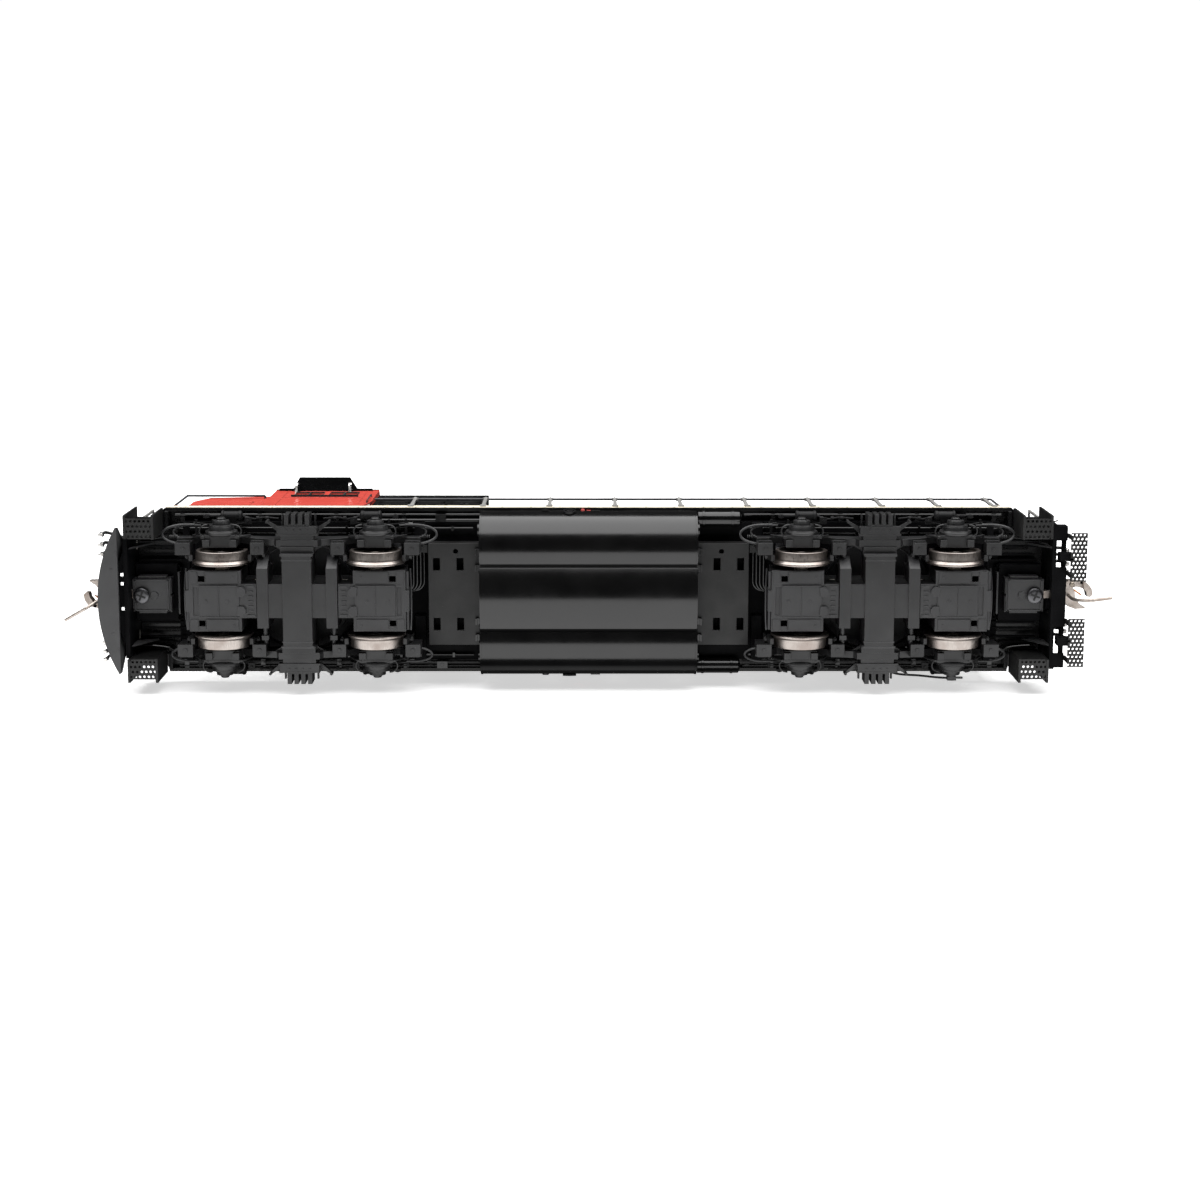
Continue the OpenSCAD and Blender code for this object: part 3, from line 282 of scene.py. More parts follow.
# ------------------------------------------------------------------ mesh helpers (millimetres in, metres out)
class MB:
    def __init__(self):
        self.v, self.f, self.m = [], [], []

    def add(self, verts, faces, mi=0):
        o = len(self.v)
        self.v += [tuple(p) for p in verts]
        self.f += [tuple(i + o for i in f) for f in faces]
        self.m += [mi] * len(faces)
        return self

    def box(self, x0, x1, y0, y1, z0, z1, mi=0):
        x0, x1 = sorted((x0, x1)); y0, y1 = sorted((y0, y1)); z0, z1 = sorted((z0, z1))
        v = [(x0, y0, z0), (x1, y0, z0), (x1, y1, z0), (x0, y1, z0), (x0, y0, z1), (x1, y0, z1), (x1, y1, z1), (x0, y1, z1)]
        return self.add(v, [(0, 3, 2, 1), (4, 5, 6, 7), (0, 1, 5, 4), (1, 2, 6, 5), (2, 3, 7, 6), (3, 0, 4, 7)], mi)

    def prism(self, pts, lo, hi, plane="xy", mi=0):
        """Closed outline pts extruded between lo and hi along the axis normal to plane."""
        n = len(pts)
        area = sum(pts[i][0] * pts[(i + 1) % n][1] - pts[(i + 1) % n][0] * pts[i][1] for i in range(n))
        if area < 0:
            pts = pts[::-1]
        def P(p, h):
            return {"xy": (p[0], p[1], h), "xz": (p[0], h, p[1]), "yz": (h, p[0], p[1])}[plane]
        v = [P(p, lo) for p in pts] + [P(p, hi) for p in pts]
        bot, top = tuple(range(n))[::-1], tuple(range(n, 2 * n))
        sides = [(i, (i + 1) % n, n + (i + 1) % n, n + i) for i in range(n)]
        f = [bot, top] + sides
        if plane == "xz":
            f = [tuple(reversed(x)) for x in f]
        return self.add(v, f, mi)

    def revolve(self, prof, o, axis="z", n=48, mi=0, mis=None):
        """prof: (radius, height) points from one end to the other; ends on the axis are closed."""
        rings, faces, vs, idx = [], [], [], []
        for r, h in prof:
            if r < 1e-6:
                idx.append([len(vs)]); vs.append((0, 0, h))
            else:
                idx.append(list(range(len(vs), len(vs) + n)))
                vs += [(r * math.cos(2 * math.pi * k / n), r * math.sin(2 * math.pi * k / n), h) for k in range(n)]
        fm = []
        for j in range(len(prof) - 1):
            a, b = idx[j], idx[j + 1]
            cm = mis[j] if mis else mi
            for k in range(n):
                k2 = (k + 1) % n
                if len(a) == 1 and len(b) == 1:
                    continue
                if len(a) == 1:
                    faces.append((a[0], b[k2], b[k]))
                elif len(b) == 1:
                    faces.append((a[k], a[k2], b[0]))
                else:
                    faces.append((a[k], a[k2], b[k2], b[k]))
                fm.append(cm)
        if prof[0][0] > 1e-6:
            faces.append(tuple(reversed(idx[0]))); fm.append(mis[0] if mis else mi)
        if prof[-1][0] > 1e-6:
            faces.append(tuple(idx[-1])); fm.append(mis[-1] if mis else mi)
        def T(p):
            x, y, z = p
            if axis == "x": q = (z, x, y)
            elif axis == "y": q = (y, z, x)
            else: q = (x, y, z)
            return (q[0] + o[0], q[1] + o[1], q[2] + o[2])
        o0 = len(self.v)
        self.v += [T(p) for p in vs]
        self.f += [tuple(i + o0 for i in f) for f in faces]
        self.m += fm
        return self

    def cyl(self, p0, p1, r, r1=None, n=20, mi=0):
        return self.tube([p0, p1], r, n, mi, r1=r1)

    def tube(self, pts, r, n=10, mi=0, closed=False, r1=None, caps=True):
        P = [Vector(p) for p in pts]
        N = len(P)
        tans = []
        for i in range(N):
            if closed:
                t = P[(i + 1) % N] - P[(i - 1) % N]
            elif i == 0: t = P[1] - P[0]
            elif i == N - 1: t = P[-1] - P[-2]
            else: t = (P[i + 1] - P[i]).normalized() + (P[i] - P[i - 1]).normalized()
            tans.append(t.normalized())
        ref = Vector((0, 0, 1)) if abs(tans[0].z) < 0.9 else Vector((1, 0, 0))
        u = tans[0].cross(ref).normalized()
        vs = []
        for i in range(N):
            t = tans[i]
            u = (u - t * u.dot(t)).normalized()
            w = t.cross(u)
            rr = r if r1 is None else r + (r1 - r) * i / (N - 1)
            if isinstance(r, (list, tuple)): rr = r[i]
            vs += [tuple(P[i] + rr * (math.cos(2 * math.pi * k / n) * u + math.sin(2 * math.pi * k / n) * w)) for k in range(n)]
        fs = []
        for i in range(N if closed else N - 1):
            a, b = i * n, ((i + 1) % N) * n
            for k in range(n):
                fs.append((a + k, a + (k + 1) % n, b + (k + 1) % n, b + k))
        if not closed and caps:
            fs.append(tuple(reversed(range(n))))
            fs.append(tuple(range((N - 1) * n, N * n)))
        return self.add(vs, fs, mi)

    def ball(self, o, r, n=12, mi=0, sy=1.0):
        prof = [(r * math.sin(math.pi * i / n) if 0 < i < n else 0, -r * math.cos(math.pi * i / n) * sy) for i in range(n + 1)]
        return self.revolve(prof, o, "z", max(8, 2 * n), mi)

    def mirror(self, ax, start=0):
        """Adds the mirror image of everything from face index start on."""
        vs = list(self.v); fs = self.f[start:]; ms = self.m[start:]
        used = sorted(set(i for f in fs for i in f))
        k = {"x": 0, "y": 1, "z": 2}[ax]
        remap = {}
        for i in used:
            p = list(vs[i]); p[k] = -p[k]
            remap[i] = len(self.v)
            self.v.append(tuple(p))
        self.f += [tuple(remap[i] for i in reversed(f)) for f in fs]
        self.m += ms
        return self

    def shift(self, dx=0, dy=0, dz=0):
        self.v = [(p[0] + dx, p[1] + dy, p[2] + dz) for p in self.v]
        return self

    def turn180(self):
        self.v = [(-p[0], -p[1], p[2]) for p in self.v]
        return self

    def obj(self, name, mats, body, bevel=0.0, seg=2, angle=32, replaces=(), smooth=True):
        me = bpy.data.meshes.new(name)
        me.from_pydata([(x * S, y * S, z * S) for x, y, z in self.v], [], self.f)
        mats = mats if isinstance(mats, (list, tuple)) else [mats]
        for k in mats:
            me.materials.append(M[k])
        for p, mi in zip(me.polygons, self.m):
            p.material_index = mi
        me.validate()
        bm = bmesh.new(); bm.from_mesh(me)
        bmesh.ops.recalc_face_normals(bm, faces=bm.faces)
        bm.to_mesh(me); bm.free()
        ob = bpy.data.objects.new(name, me)
        bpy.context.scene.collection.objects.link(ob)
        finish_mesh(ob, bevel, seg, angle, smooth)
        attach(ob, body)
        if replaces:
            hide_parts(*replaces)
        return ob


def finish_mesh(ob, bevel, seg, angle, smooth=True):
    me = ob.data
    for p in me.polygons:
        p.use_smooth = smooth
    if smooth:
        bm = bmesh.new(); bm.from_mesh(me)
        for e in bm.edges:
            if len(e.link_faces) == 2 and e.calc_face_angle(0) > math.radians(angle):
                e.smooth = False
        bm.to_mesh(me); bm.free()
    if bevel > 0:
        mod = ob.modifiers.new("edge", "BEVEL")
        mod.width = bevel * S
        mod.segments = seg
        mod.limit_method = "ANGLE"
        mod.angle_limit = math.radians(angle)
        mod.use_clamp_overlap = False
        mod.loop_slide = False
        mod.harden_normals = True


BODY_OF = {}
for bname, members in frame["record"]["behaviour"]["bodies"].items():
    for nn in members:
        BODY_OF[nn] = bname


def dress(node, mat, bevel=0.08, seg=2, angle=30, name=None, tri=True):
    """A bevelled, welded copy of a CAD node stands for it."""
    src = NODES[node]
    me = bpy.data.meshes.new(node + "_mesh")
    me.from_pydata([v.co.copy() for v in src.data.vertices], [], [tuple(p.vertices) for p in src.data.polygons])
    ob = bpy.data.objects.new(name or node + "_skin", me)
    bpy.context.scene.collection.objects.link(ob)
    me.materials.clear()
    for k in (mat if isinstance(mat, (list, tuple)) else [mat]):
        me.materials.append(M[k])
    bm = bmesh.new(); bm.from_mesh(me)
    bmesh.ops.remove_doubles(bm, verts=bm.verts, dist=2e-6)
    bmesh.ops.recalc_face_normals(bm, faces=bm.faces)
    for f in bm.faces:
        f.material_index = 0
    bm.to_mesh(me); bm.free()
    finish_mesh(ob, bevel, seg, angle)
    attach(ob, BODY_OF[node])
    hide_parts(node)
    return ob


def paint(node, mat):
    ob = NODES[node]
    ob.data.materials.clear()
    ob.data.materials.append(M[mat])


def arc(cx, cy, r, a0, a1, n):
    return [(cx + r * math.cos(math.radians(a0 + (a1 - a0) * i / n)), cy + r * math.sin(math.radians(a0 + (a1 - a0) * i / n))) for i in range(n + 1)]


def smooth_path(pts, per=6):
    """Catmull-Rom through the given points."""
    P = [Vector(p) for p in pts]
    P = [2 * P[0] - P[1]] + P + [2 * P[-1] - P[-2]]
    out = []
    for i in range(1, len(P) - 2):
        for k in range(per):
            t = k / per
            a, b, c_, d = P[i - 1], P[i], P[i + 1], P[i + 2]
            out.append(tuple(0.5 * ((2 * b) + (-a + c_) * t + (2 * a - 5 * b + 4 * c_ - d) * t * t + (-a + 3 * b - 3 * c_ + d) * t ** 3)))
    out.append(tuple(P[-2]))
    return out


def bolt_z(mb, x, y, z, r=0.35, h=0.22, mi=0, down=True):
    """Hex head standing off a face that looks down (or up)."""
    pts = [(x + r * math.cos(math.radians(60 * k)), y + r * math.sin(math.radians(60 * k))) for k in range(6)]
    mb.prism(pts, z - h if down else z, z if down else z + h, "xy", mi)


def bolt_y(mb, x, y, z, r=0.3, h=0.2, sgn=1, mi=0):
    pts = [(x + r * math.cos(math.radians(60 * k)), z + r * math.sin(math.radians(60 * k))) for k in range(6)]
    mb.prism(pts, min(y, y + sgn * h), max(y, y + sgn * h), "xz", mi)


TX, AX, AZ = 59.4, 15.75, 6.0
DECK = 18.4


# ------------------------------------------------------------------ dressed CAD pieces
PLAN = {
    "underframe": ("frame", 0.08), "walkway_deck": ("body", 0.10), "fuel_tank": ("tank", 0.12), "fuel_filler_caps": ("body", 0.03),
    "air_reservoirs": ("tank", 0.04), "driveshaft_covers": ("etched", 0.08), "underframe_pipes": ("tank", 0), "hood_shell": ("body", 0.08),
    "radiator_grilles": ("grille", 0.02), "roof_fans": ("grille", 0.02), "cab_shell": ("red", 0.10), "cab_glazing": ("glass", 0),
    "cab_interior": ("interior", 0.05), "nose_hood": ("red", 0.08), "headlight_lenses": ("lens", 0.04), "window_sunshades": ("body", 0.04),
    "equipment_cabinet": ("body", 0.10), "front_pilot": ("frame", 0.05), "snow_plow": ("plow", 0.06), "rear_pilot": ("frame", 0.06),
    "step_treads": ("etched", 0.02), "handrail_stanchions": ("white", 0.04), "handrails": ("wire", 0), "mu_hoses": ("hose", 0.0),
    "coupler_boxes": ("plate", 0.06), "assembly_screws": ("screw", 0.04), "bell_and_horn": ("brass", 0), "motor_housing": ("steel", 0.1),
    "circuit_board": ("board", 0.03), "ballast_weight": ("weight", 0.1), "speaker": ("speaker", 0.05),
    "motor_armature": ("copper", 0), "flywheels": ("brass", 0.08), "drive_shafts": ("steel", 0),
    "front_coupler": ("coupler", 0.06), "rear_coupler": ("coupler", 0.06), "front_knuckle": ("coupler", 0.08), "rear_knuckle": ("coupler", 0.08),
}
for e in ("front", "rear"):
    PLAN[e + "_truck_frame"] = ("truck", 0.07)
    PLAN[e + "_truck_gear_covers"] = ("plate", 0.07)
    PLAN[e + "_truck_side_frames"] = ("truck", 0.06)
    PLAN[e + "_truck_worm"] = ("brass", 0)
    for k in ("worm_wheel", "idler_fore", "idler_aft", "axle_gear_fore", "axle_gear_aft"):
        PLAN[e + "_truck_" + k] = ("gear", 0)
for node, (mat, bev) in PLAN.items():
    dress(node, mat, bev)

# ------------------------------------------------------------------ wheels
def wheel_prof(inner, s):
    """(radius, distance along the axle) from the back face out to the tread face, turned profile."""
    p = [(0, 7.25), (1.6, 7.25), (1.7, 7.45), (4.3, 7.45), (4.6, 7.25), (5.75, 7.25), (5.93, 7.32), (6.0, 7.47), (5.98, 7.66), (5.86, 7.84),
         (5.62, 8.0), (5.49, 8.12), (5.43, 8.28), (5.40, 8.6), (5.34, 9.75), (5.28, 9.98), (5.18, 10.05), (4.62, 10.05), (4.5, 9.98), (4.32, 9.62),
         (4.1, 9.48), (3.0, 9.44), (2.15, 9.5), (2.0, 9.62), (1.86, 9.92), (1.78, 9.98), (1.15, 9.99), (0.95, 10.05), (0.78, 10.25), (0, 10.28)]
    return [(r, h * s) for r, h in p]


def wheelset(e, f, cx):
    mb = MB()
    for s_ in (1, -1):
        prof = wheel_prof(0, s_)
        mis = [1] * 5 + [0] * 13 + [1] * 12
        start = len(mb.v)
        if s_ > 0:
            mb.revolve(prof, (cx, 0, AZ), "y", 96, mis=mis)
        else:
            mb.revolve(prof[::-1], (cx, 0, AZ), "y", 96, mis=mis[::-1])
    mb.revolve([(0.8, -7.3), (0.8, -6.72)], (cx, 0, AZ), "y", 32, 2)
    mb.revolve([(0.8, 6.72), (0.8, 7.3)], (cx, 0, AZ), "y", 32, 2)
    mb.obj(f"{e}_truck_turned_wheels_{f}", ["wheel", "wheel_face", "screw"], f"{e}_wheelset_{f}", 0, angle=24,
           replaces=(f"{e}_truck_wheels_{f}",))


def bearing_stack(mb, x, sy):
    """Round roller-bearing cap on the outer face of a journal box."""
    prof = [(0, 13.25), (3.25, 13.25), (3.3, 13.35), (3.3, 13.8), (3.15, 13.95), (2.72, 14.0), (2.62, 14.1), (2.6, 14.75), (2.45, 15.0), (2.0, 15.1),
            (1.78, 15.2), (1.74, 15.85), (1.6, 16.05), (1.1, 16.1), (0.95, 16.2), (0.9, 16.5), (0.7, 16.65), (0, 16.7)]
    mb.revolve([(r, h * sy) for r, h in (prof if sy > 0 else prof[::-1])], (x, 0, AZ), "y", 40, 0)
    for k in range(6):
        a = math.radians(60 * k + 30)
        bolt_y(mb, x + 2.16 * math.cos(a), 15.05 * sy, AZ + 2.16 * math.sin(a), 0.24, 0.22, sy)
    for k in range(4):
        a = math.radians(90 * k + 45)
        bolt_y(mb, x + 2.95 * math.cos(a), 13.85 * sy, AZ + 2.95 * math.sin(a), 0.26, 0.22, sy)


def coil(mb, x, y, z0, z1, r, wire, turns, n=12, k=8):
    pts = []
    N = int(turns * n)
    for i in range(N + 1):
        a = 2 * math.pi * i / n
        t = i / N
        pts.append((x + r * math.cos(a), y + r * math.sin(a), z0 + (z1 - z0) * t))
    mb.tube(pts, wire, k)


def truck(e, cx, s):
    """Everything fixed to one truck frame. s, meant as +1 where the motor lies towards -X, is not used."""
    body = e + "_truck"
    # gearbox covers: seam, cut-outs, latch tongue, screw bosses
    mb = MB()
    for f in (1, -1):
        X = lambda v: cx + f * v
        for y in (-3.2, 3.2):
            mb.box(X(11.9), X(20.0), y - 0.1, y + 0.1, 1.24, 1.45)
        mb.box(X(15.9), X(16.05), -3.1, 3.1, 1.27, 1.45)
        for y0, y1 in ((-6.2, -3.6), (3.6, 6.2)):
            mb.box(X(12.0), X(18.6), y0 + 0.12, y1 - 0.12, 1.52, 1.75)
            mb.box(X(20.3), X(21.8), y0 + 0.12, y1 - 0.12, 1.52, 1.75)
            for xx in (18.65, 20.2):
                mb.box(X(xx), X(xx + 0.12), y0 + 0.3, y1 - 0.3, 1.5, 1.9)
        # round clip at the inner end of each box with the dark latch between its arms
        for sy in (1, -1):
            mb.prism([(X(10.9), sy * 1.0), (X(12.1), sy * 1.0), (X(12.3), sy * 2.9), (X(11.2), sy * 3.1), (X(10.5), sy * 2.5), (X(10.4), sy * 1.7)], 1.1, 1.8, "xy")
            mb.box(X(8.6), X(10.2), sy * 2.75, sy * 3.2, 1.45, 1.75)
        for k in range(5):
            y = -2.0 + k * 1.0
            mb.box(X(9.0), X(10.0), y - 0.14, y + 0.14, 1.5, 1.75)
        bolt_z(mb, X(14.2), 0.0, 1.42, 0.38, 0.14)
        bolt_z(mb, X(18.6), 0.0, 1.42, 0.38, 0.14)
        for sy in (1, -1):
            bolt_z(mb, X(13.0), 5.0 * sy, 1.55, 0.3, 0.12)
        # frame beam and hangers at the end of the box
        mb.box(X(22.2), X(22.7), -6.0, 6.0, 2.2, 3.0)
        mb.tube(smooth_path([(X(22.9), -6.4, 4.2), (X(23.1), -2.5, 3.4), (X(23.1), 2.5, 3.4), (X(22.9), 6.4, 4.2)], 4), 0.22, 8)
    # bolster and its end bands
    for sy in (1, -1):
        mb.box(cx - 3.35, cx + 3.35, sy * 9.3, sy * 9.75, 1.2, 2.9)
        mb.box(cx - 3.15, cx + 3.15, sy * 8.3, sy * 8.6, 1.22, 1.5)
        for f in (1, -1):
            mb.prism([(cx + f * 3.0, sy * 9.6), (cx + f * 3.9, sy * 10.2), (cx + f * 5.6, sy * 11.2), (cx + f * 5.6, sy * 11.7), (cx + f * 3.0, sy * 11.0)], 5.2, 6.2, "xy")
    # sloped tops of the cross arms
    for f in (1, -1):
        mb.prism([(6.75, 1.35), (8.6, 4.4), (9.2, 6.4), (6.75, 6.4)], cx + f * 5.95, cx + f * 8.15, "yz")
        mb.tube([(cx + f * 7.05, 6.6, 5.0), (cx + f * 7.05, 9.4, 5.0)], 0.5, 12)
        mb.tube([(cx + f * 7.05, -5.4, 5.0), (cx + f * 7.05, -9.4, 5.0)], 0.5, 12)
        mb.box(cx + f * 6.3, cx + f * 7.8, -8.6, -7.6, 4.2, 6.0)
        mb.box(cx + f * 6.3, cx + f * 7.8, 7.4, 8.3, 4.2, 6.0)
    mb.obj(e + "_truck_gearbox_trim", "plate", body, 0.05)

    mb = MB()
    for f in (1, -1):
        for sy in (1, -1):
            bearing_stack(mb, cx + f * AX, sy)
    mb.obj(e + "_truck_bearing_caps", "truck", body, 0.035, angle=40)

    # brake shoes, hangers and beams
    mb = MB()
    for f in (1, -1):
        for g in (1, -1):
            ang = [(-24 + 8 * i) for i in range(7)]
            xo, zo = cx + f * AX, AZ
            for sy in (1, -1):
                base = 180 if g < 0 else 0
                outer = [(xo + 6.95 * math.cos(math.radians(base + g * a)), zo + 6.95 * math.sin(math.radians(base + g * a)) - 0.2) for a in ang]
                inner = [(xo + 6.15 * math.cos(math.radians(base + g * a)), zo + 6.15 * math.sin(math.radians(base + g * a)) - 0.2) for a in reversed(ang)]
                mb.prism(outer + inner, sy * 8.05, sy * 9.25, "xz")
                mb.prism([(xo + g * 6.9, zo - 1.1), (xo + g * 7.5, zo - 0.8), (xo + g * 7.3, zo + 4.6), (xo + g * 6.8, zo + 4.6)], sy * 8.4, sy * 8.9, "xz")
                mb.cyl((xo + g * 7.1, sy * 8.2, zo + 4.2), (xo + g * 7.1, sy * 10.2, zo + 4.2), 0.28, n=10)
                mb.cyl((xo + g * 7.15, sy * 8.1, zo - 0.3), (xo + g * 7.15, sy * 11.0, zo - 0.3), 0.3, n=10)
    for sy in (1, -1):
        for f in (1, -1):
            # hanger caps and bolts on the side frame ends
            for hx in (8.2, 23.3):
                bolt_z(mb, cx + f * hx, sy * 10.5, 3.25 if hx < 10 else 3.05, 0.45, 0.25)
                mb.box(cx + f * (hx - 1.3), cx + f * (hx + 1.3), sy * 11.7, sy * 12.1, 3.9, 5.4)
            # equaliser bars either side of the journal box
            mb.tube(smooth_path([(cx + f * (AX - 5.6), sy * 12.7, 7.6), (cx + f * (AX - 3.8), sy * 12.9, 4.6), (cx + f * AX, sy * 13.0, 3.9),
                                 (cx + f * (AX + 3.8), sy * 12.9, 4.6), (cx + f * (AX + 6.2), sy * 12.7, 7.9)], 5), 0.24, 8)
            # oval sanding and guide loops round each cap
            for g in (1, -1):
                pts = [(cx + f * AX + g * (2.6 + 1.7 * math.sin(math.radians(t))), sy * (14.0 + 1.35 * math.cos(math.radians(t))), 4.6) for t in range(0, 181, 20)]
                mb.tube(pts, 0.17, 6)
            mb.box(cx + f * (AX - 3.9), cx + f * (AX + 3.9), sy * 12.6, sy * 13.05, 3.5, 3.95)
            for g in (-1, 1):
                bolt_z(mb, cx + f * AX + g * 3.3, sy * 12.85, 3.52, 0.3, 0.2)
    mb.obj(e + "_truck_brake_rigging", "truck", body, 0.03)

    # brake cylinders and their pipework
    mb = MB()
    for sy in (1, -1):
        for f in (1, -1):
            X = lambda v: cx + f * v
            y, z = sy * 16.2, 11.5
            prof = [(0, 12.1), (0.7, 12.15), (1.05, 12.35), (1.12, 12.5), (1.12, 12.9), (0.98, 13.0), (0.98, 15.9), (1.14, 16.0), (1.14, 16.4), (0.9, 16.55), (0.34, 16.7), (0.34, 19.2), (0.26, 19.3), (0, 19.3)]
            mb.revolve([(r, cx + f * h) for r, h in (prof if f > 0 else prof[::-1])], (0, y, z), "x", 24)
            mb.box(X(19.0), X(20.1), y - 0.3, y + 0.3, z - 1.2, z + 0.5)
            mb.cyl((X(19.5), y - 0.45, z - 0.7), (X(19.5), y + 0.45, z - 0.7), 0.3, n=12)
            mb.tube(smooth_path([(X(12.2), y, z), (X(11.4), y - sy * 0.2, z - 0.2), (X(9.6), y - sy * 0.6, z - 0.5), (X(7.6), y - sy * 0.3, z - 0.3), (X(4.6), y - sy * 0.5, z - 0.6)], 5), 0.22, 8)
            mb.tube(smooth_path([(X(10.6), y - sy * 1.2, z - 0.9), (X(12.8), y - sy * 1.5, z - 0.7), (X(17.5), y - sy * 1.7, z - 0.9), (X(22.2), y - sy * 1.3, z - 0.8)], 5), 0.17, 8)
            for v in (9.0, 7.0, 11.2):
                mb.revolve([(0, X(v) - 0.35), (0.42, X(v) - 0.3), (0.42, X(v) + 0.3), (0, X(v) + 0.35)], (0, y - sy * 0.42, z - 0.4), "x", 12)
            mb.box(X(10.2), X(11.6), y - sy * 1.6, y - sy * 0.2, z - 1.1, z - 0.5)
            mb.cyl((X(10.9), y - sy * 0.8, z - 1.5), (X(10.9), y - sy * 0.8, z + 0.3), 0.22, n=10)
            for v in (17.9, 21.4):
                mb.box(X(v), X(v + 0.5), sy * 12.3, sy * 15.6, z - 0.95, z - 0.6)
    mb.obj(e + "_truck_brake_cylinders", "truck", body, 0.03, angle=40)

    # spring group: four leaf stacks with coil springs inside, on a tray
    mb = MB()
    for sy in (1, -1):
        for i in range(4):
            x = cx - 2.1 + i * 1.4
            coil(mb, x, sy * 16.5, 3.4, 7.1, 0.34, 0.1, 6, 10, 6)
            bolt_z(mb, x, sy * 14.4, 3.02, 0.24, 0.16)
        mb.box(cx - 4.3, cx + 4.3, sy * 13.25, sy * 13.6, 2.9, 4.7)
        mb.box(cx - 4.2, cx + 4.2, sy * 14.9, sy * 15.2, 2.95, 4.1)
        for f in (1, -1):
            mb.prism([(cx + f * 4.0, sy * 13.5), (cx + f * 6.4, sy * 15.6), (cx + f * 6.4, sy * 16.1), (cx + f * 3.8, sy * 14.6)], 5.6, 6.4, "xy")
            mb.cyl((cx + f * 6.3, sy * 15.85, 4.9), (cx + f * 6.3, sy * 15.85, 7.2), 0.3, n=10)
            mb.box(cx + f * 3.2, cx + f * 3.55, sy * 13.4, sy * 17.2, 6.6, 7.6)
    mb.obj(e + "_truck_spring_group", "truck", body, 0.025)

    # air hoses that loop from the truck to the frame side
    mb = MB()
    for f in (1, -1):
        X = lambda v: cx + f * v
        def loop(sy, x0, rx, y0, ry, z0, dz, r):
            pts = [(X(x0 + rx * math.sin(math.radians(t))), sy * (y0 - ry * math.cos(math.radians(t))), z0 + dz * (1 - math.cos(math.radians(t))) / 2) for t in range(0, 181, 12)]
            pts.insert(0, (X(x0 - 1.6), sy * (y0 - ry), z0))
            pts.append((X(x0 - 2.0), sy * (y0 + ry), z0 + dz))
            mb.tube(pts, r, 10)
        loop(1, 23.6, 4.6, 12.9, 1.9, 7.3, 1.1, 0.27)
        loop(1, 22.4, 3.6, 13.3, 1.35, 7.9, 0.8, 0.17)
        loop(-1, 23.6, 3.4, 12.3, 1.5, 7.4, 1.0, 0.25)
        for k in range(5):
            mb.revolve([(0.34, X(25.2 + 0.36 * k) - 0.08), (0.34, X(25.2 + 0.36 * k) + 0.08)], (0, 12.4, 8.3), "x", 10)
        mb.revolve([(0, X(23.1)), (0.5, X(23.15)), (0.5, X(24.0)), (0.3, X(24.1)), (0, X(24.1))], (0, 11.8, 8.2), "x", 14)
        mb.revolve([(0, X(23.1)), (0.5, X(23.15)), (0.5, X(24.0)), (0.3, X(24.1)), (0, X(24.1))], (0, -11.8, 8.2), "x", 14)
    mb.obj(e + "_truck_air_hoses", "hose", body, 0)


for e, cx in (("front", TX), ("rear", -TX)):
    truck(e, cx, 1)
    for f, fx in (("fore", 1), ("aft", -1)):
        wheelset(e, f, cx + fx * AX)

# ------------------------------------------------------------------ underframe, tank and ends
def lathe_x(mb, prof, x, y, z, s=1, n=24, mi=0):
    pr = [(r, x + s * h) for r, h in prof]
    mb.revolve(pr if s > 0 else pr[::-1], (0, y, z), "x", n, mi)


mb = MB()
for f in (1, -1):
    X = lambda v: f * v
    # nested pockets and ribs round the coupler box
    for k, (x0, w) in enumerate(((85.2, 5.6), (83.6, 6.8), (82.0, 8.0))):
        z0 = 13.2 + 0.3 * k
        mb.box(X(x0 - 0.5), X(x0), -w, w, z0, 14.3)
        for sy in (1, -1):
            mb.box(X(x0 - 0.5), X(94.2 - 0.6 * k), sy * (w - 0.45), sy * w, z0, 14.3)
    for sy in (1, -1):
        for k in range(4):
            mb.box(X(84.6), X(93.8), sy * (9.4 + 1.2 * k), sy * (9.75 + 1.2 * k), 13.6, 14.4)
        mb.box(X(33.2), X(44.5), sy * 8.2, sy * 8.6, 13.4, 14.3)
        mb.box(X(72.5), X(82.5), sy * 12.9, sy * 13.4, 12.9, 14.3)
        for k in range(3):
            mb.box(X(36.5 + k * 2.6), X(37.1 + k * 2.6), sy * 10.6, sy * 14.4, 13.7, 14.3)
    # wide round recess edge above each truck
    pts = [(f * TX + 12.7 * math.cos(math.radians(a)), 12.7 * math.sin(math.radians(a)), 14.15) for a in range(0, 360, 10)]
    mb.tube(pts, 0.35, 6, closed=True)
mb.obj("underframe_ribs", "frame", "root", 0.04)

mb = MB()
for f in (1, -1):
    X = lambda v: f * v
    # coupler box lid: raised rim, ridges and the spring tongue
    for sy in (1, -1):
        mb.box(X(86.8), X(94.2), sy * 3.0, sy * 3.3, 8.66, 8.95)
        mb.box(X(86.3), X(86.6), sy * 0.2, sy * 3.6, 9.2, 12.0)
        mb.box(X(87.4), X(93.2), sy * 3.42, sy * 3.9, 9.6, 11.9)
    mb.box(X(86.8), X(87.15), -3.3, 3.3, 8.66, 8.95)
    mb.box(X(93.6), X(94.0), -3.3, -1.6, 8.66, 8.95)
    mb.box(X(93.6), X(94.0), 1.6, 3.3, 8.66, 8.95)
    mb.box(X(84.9), X(85.3), -4.4, 4.4, 11.2, 13.2)
mb.obj("coupler_box_ridges", "plate", "root", 0.05)
